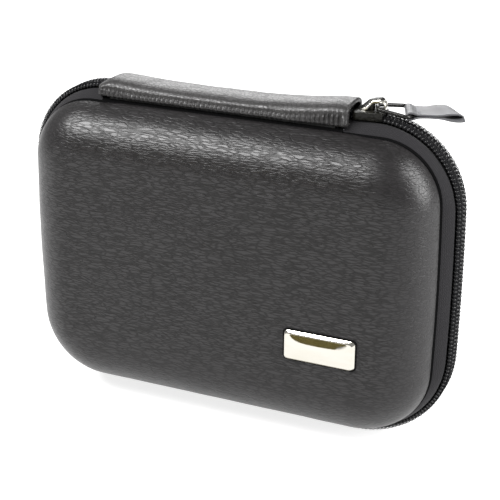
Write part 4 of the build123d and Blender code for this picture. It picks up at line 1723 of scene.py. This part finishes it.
@dataclass
class ElasticBand:
    """The wide elastic that holds the contents of the back half."""

    plane: float = 10.8
    low: float = 44.5
    high: float = 68.5
    reach: float = 68.2
    thickness: float = 1.0
    rib: float = 1.5
    stitch: float = 1.3
    stitch_pitch: float = 1.9

    def make(self) -> Piece:
        """Knit the band, ribbed along its length and sewn down at its ends.

        Returns:
            The band.
        """
        places = np.arange(-self.reach, self.reach + 0.1, 0.9)
        heights = np.concatenate([np.arange(self.low, self.high, 0.25), [self.high]])
        front, back = [], []
        for x in places:
            ribs = 0.13 * np.cos(heights * FULL_TURN / self.rib)
            bow = 0.2 * math.cos(x / self.reach * math.pi / 2)
            edge = np.minimum(heights - self.low, self.high - heights)
            thin = 0.35 * np.exp(-((edge / 0.5) ** 2))
            half = self.thickness / 2 - thin + ribs
            front.append(np.stack([np.full(len(heights), x), self.plane - bow - half, heights], axis=1))
            back.append(np.stack([np.full(len(heights), x), self.plane - bow + half, heights], axis=1)[::-1])
        grid = np.concatenate([np.array(front), np.array(back)], axis=1)
        shape = Shape()
        shape.add_grid(grid, round_columns=True, caps=True)
        for sign in (-1, 1):
            for offset in (2.0, 4.2):
                x = sign * (self.reach - offset)
                for z in np.arange(self.low + 1.2, self.high - 1.6, self.stitch_pitch):
                    path = [(x, self.plane - 0.75 - 0.1 * math.sin(math.pi * t), z + self.stitch * t)
                            for t in np.linspace(0, 1, 6)]
                    shape.add_tube(np.array(path), 0.16, 6, np.array([0, 1.0, 0]), finish=1)
        piece = shape.build("back_elastic", [ELASTIC, THREAD], sharp=80)
        return place(piece, ELASTIC, "back", "elastic_band")


# ---------------------------------------------------------------- the studio
@dataclass
class Studio:
    """A plain pale floor, soft lamps and the camera."""

    camera_place: tuple[float, float, float] = (0.170804, -0.383524, 0.23407)
    azimuth: float = 23.524
    elevation: float = 22.73
    roll: float = 0.237
    lens: float = 95.0
    floor_half: float = 4.0
    card_foot: tuple[tuple[float, float], ...] = ((-0.33, -0.53), (-0.09, -0.63))  # its two ends, in metres
    card_height: float = 0.34

    def camera(self) -> None:
        """Set up the camera."""
        az, el, roll = (math.radians(v) for v in (self.azimuth, self.elevation, self.roll))
        back = Vector((math.sin(az) * math.cos(el), -math.cos(az) * math.cos(el), math.sin(el)))
        right = Vector((math.cos(az), math.sin(az), 0))
        up = back.cross(right)
        c, s = math.cos(roll), math.sin(roll)
        right, up = c * right + s * up, -s * right + c * up
        data = bpy.data.cameras.new("camera")
        data.lens, data.sensor_width = self.lens, 36.0
        data.clip_start, data.clip_end = 0.01, 20.0
        camera = bpy.data.objects.new("camera", data)
        turn = Matrix((right, up, back)).transposed().to_4x4()
        camera.matrix_world = Matrix.Translation(self.camera_place) @ turn
        bpy.context.scene.collection.objects.link(camera)
        bpy.context.scene.camera = camera

    def lamp(self, name: str, spot: tuple[float, float, float], size: tuple[float, float],
             power: float) -> None:
        """Hang a soft box that faces the case.

        Args:
            name: The lamp's name.
            spot: Its place in metres.
            size: Its width and height in metres.
            power: Its power in watts.
        """
        data = bpy.data.lights.new(name, "AREA")
        data.shape = "RECTANGLE"
        data.size, data.size_y = size
        data.energy = power
        lamp = bpy.data.objects.new(name, data)
        lamp.location = spot
        lamp.rotation_euler = (Vector(spot) - Vector((0, 0, 0.06))).to_track_quat("Z", "Y").to_euler()
        bpy.context.scene.collection.objects.link(lamp)

    def sheet(self, name: str, corners: list[tuple[float, ...]], paint: bpy.types.Material) -> Piece:
        """Add a flat sheet that is no part of the case.

        Args:
            name: The sheet's name.
            corners: Its four corners in metres.
            paint: Its material.

        Returns:
            The sheet.
        """
        mesh = bpy.data.meshes.new(name)
        mesh.from_pydata(corners, [], [(0, 1, 2, 3)])
        mesh.materials.append(paint)
        made = bpy.data.objects.new(name, mesh)
        bpy.context.scene.collection.objects.link(made)
        return made

    def floor(self) -> None:
        """Lay the floor, white to the camera apart from the case's shadow."""
        paint = empty_material("matt white floor paint")
        tree = paint.node_tree
        matt = add_node(tree, "ShaderNodeBsdfDiffuse", {"Color": linear("#f2f2f2")})
        glow = add_node(tree, "ShaderNodeEmission", {"Color": linear("#ffffff"), "Strength": 1.6})
        path = add_node(tree, "ShaderNodeLightPath")
        seen = add_node(tree, "ShaderNodeMath", {
            0: path.outputs["Is Camera Ray"], 1: path.outputs["Is Glossy Ray"]}, operation="MAXIMUM")
        seen = add_node(tree, "ShaderNodeMath", {0: seen.outputs[0], 1: path.outputs["Is Transmission Ray"]},
                        operation="MAXIMUM")
        share = add_node(tree, "ShaderNodeMath", {0: seen.outputs[0], 1: 0.5}, operation="MULTIPLY")
        mixed = add_node(tree, "ShaderNodeMixShader", {
            0: share.outputs[0], 1: matt.outputs[0], 2: glow.outputs[0]})
        add_node(tree, "ShaderNodeOutputMaterial", {"Surface": mixed.outputs[0]})
        far = self.floor_half
        floor = self.sheet("floor", [(-far, -far, 0), (far, -far, 0), (far, far, 0), (-far, far, 0)], paint)

    def card(self) -> None:
        """Stand a dark card in front, out of view, for the chrome to mirror."""
        paint = empty_material("matt olive card")
        tree = paint.node_tree
        matt = add_node(tree, "ShaderNodeBsdfDiffuse", {"Color": linear("#5a5333")})
        add_node(tree, "ShaderNodeOutputMaterial", {"Surface": matt.outputs[0]})
        (x1, y1), (x2, y2) = self.card_foot
        top = self.card_height
        card = self.sheet("card", [(x1, y1, 0.0), (x2, y2, 0.0), (x2, y2, top), (x1, y1, top)], paint)
        card.visible_camera = False  # only the polished metal shows it

    def sky(self) -> None:
        """Surround the case with plain white light."""
        world = bpy.data.worlds.new("studio")
        world.use_nodes = True
        tree = world.node_tree
        tree.nodes.clear()
        path = add_node(tree, "ShaderNodeLightPath")
        soft = add_node(tree, "ShaderNodeBackground", {"Color": linear("#ffffff"), "Strength": 0.4})
        white = add_node(tree, "ShaderNodeBackground", {"Color": linear("#ffffff"), "Strength": 1.0})
        mixed = add_node(tree, "ShaderNodeMixShader", {
            0: path.outputs["Is Camera Ray"], 1: soft.outputs[0], 2: white.outputs[0]})
        add_node(tree, "ShaderNodeOutputWorld", {"Surface": mixed.outputs[0]})
        bpy.context.scene.world = world

    def make(self) -> None:
        """Set up the whole studio."""
        self.camera()
        self.floor()
        self.card()
        self.sky()
        self.lamp("key soft box", (-0.36, -0.37, 0.66), (0.6, 0.3), 11.5)
        self.lamp("right soft box", (0.7, 0.0, 0.42), (0.35, 0.75), 10.0)
        self.lamp("rear soft box", (-0.32, 0.76, 0.47), (0.5, 0.5), 3.2)
        bpy.context.scene.view_settings.view_transform = "Standard"


def main() -> None:
    """Build every piece round the frame."""
    logging.basicConfig(level=logging.INFO, format="%(name)s: %(message)s")
    Studio().make()
    Half(Side.FRONT, "lid").make()
    Half(Side.BACK, "back").make()
    Zip().make()
    Spine().make()
    Slider().make()
    Pull().make()
    Badge().make()
    NetPocket().make()
    ElasticBand().make()
    dress("plate_washer", STEEL)
    log.info("sizes written")


if __name__ == "__main__":
    main()
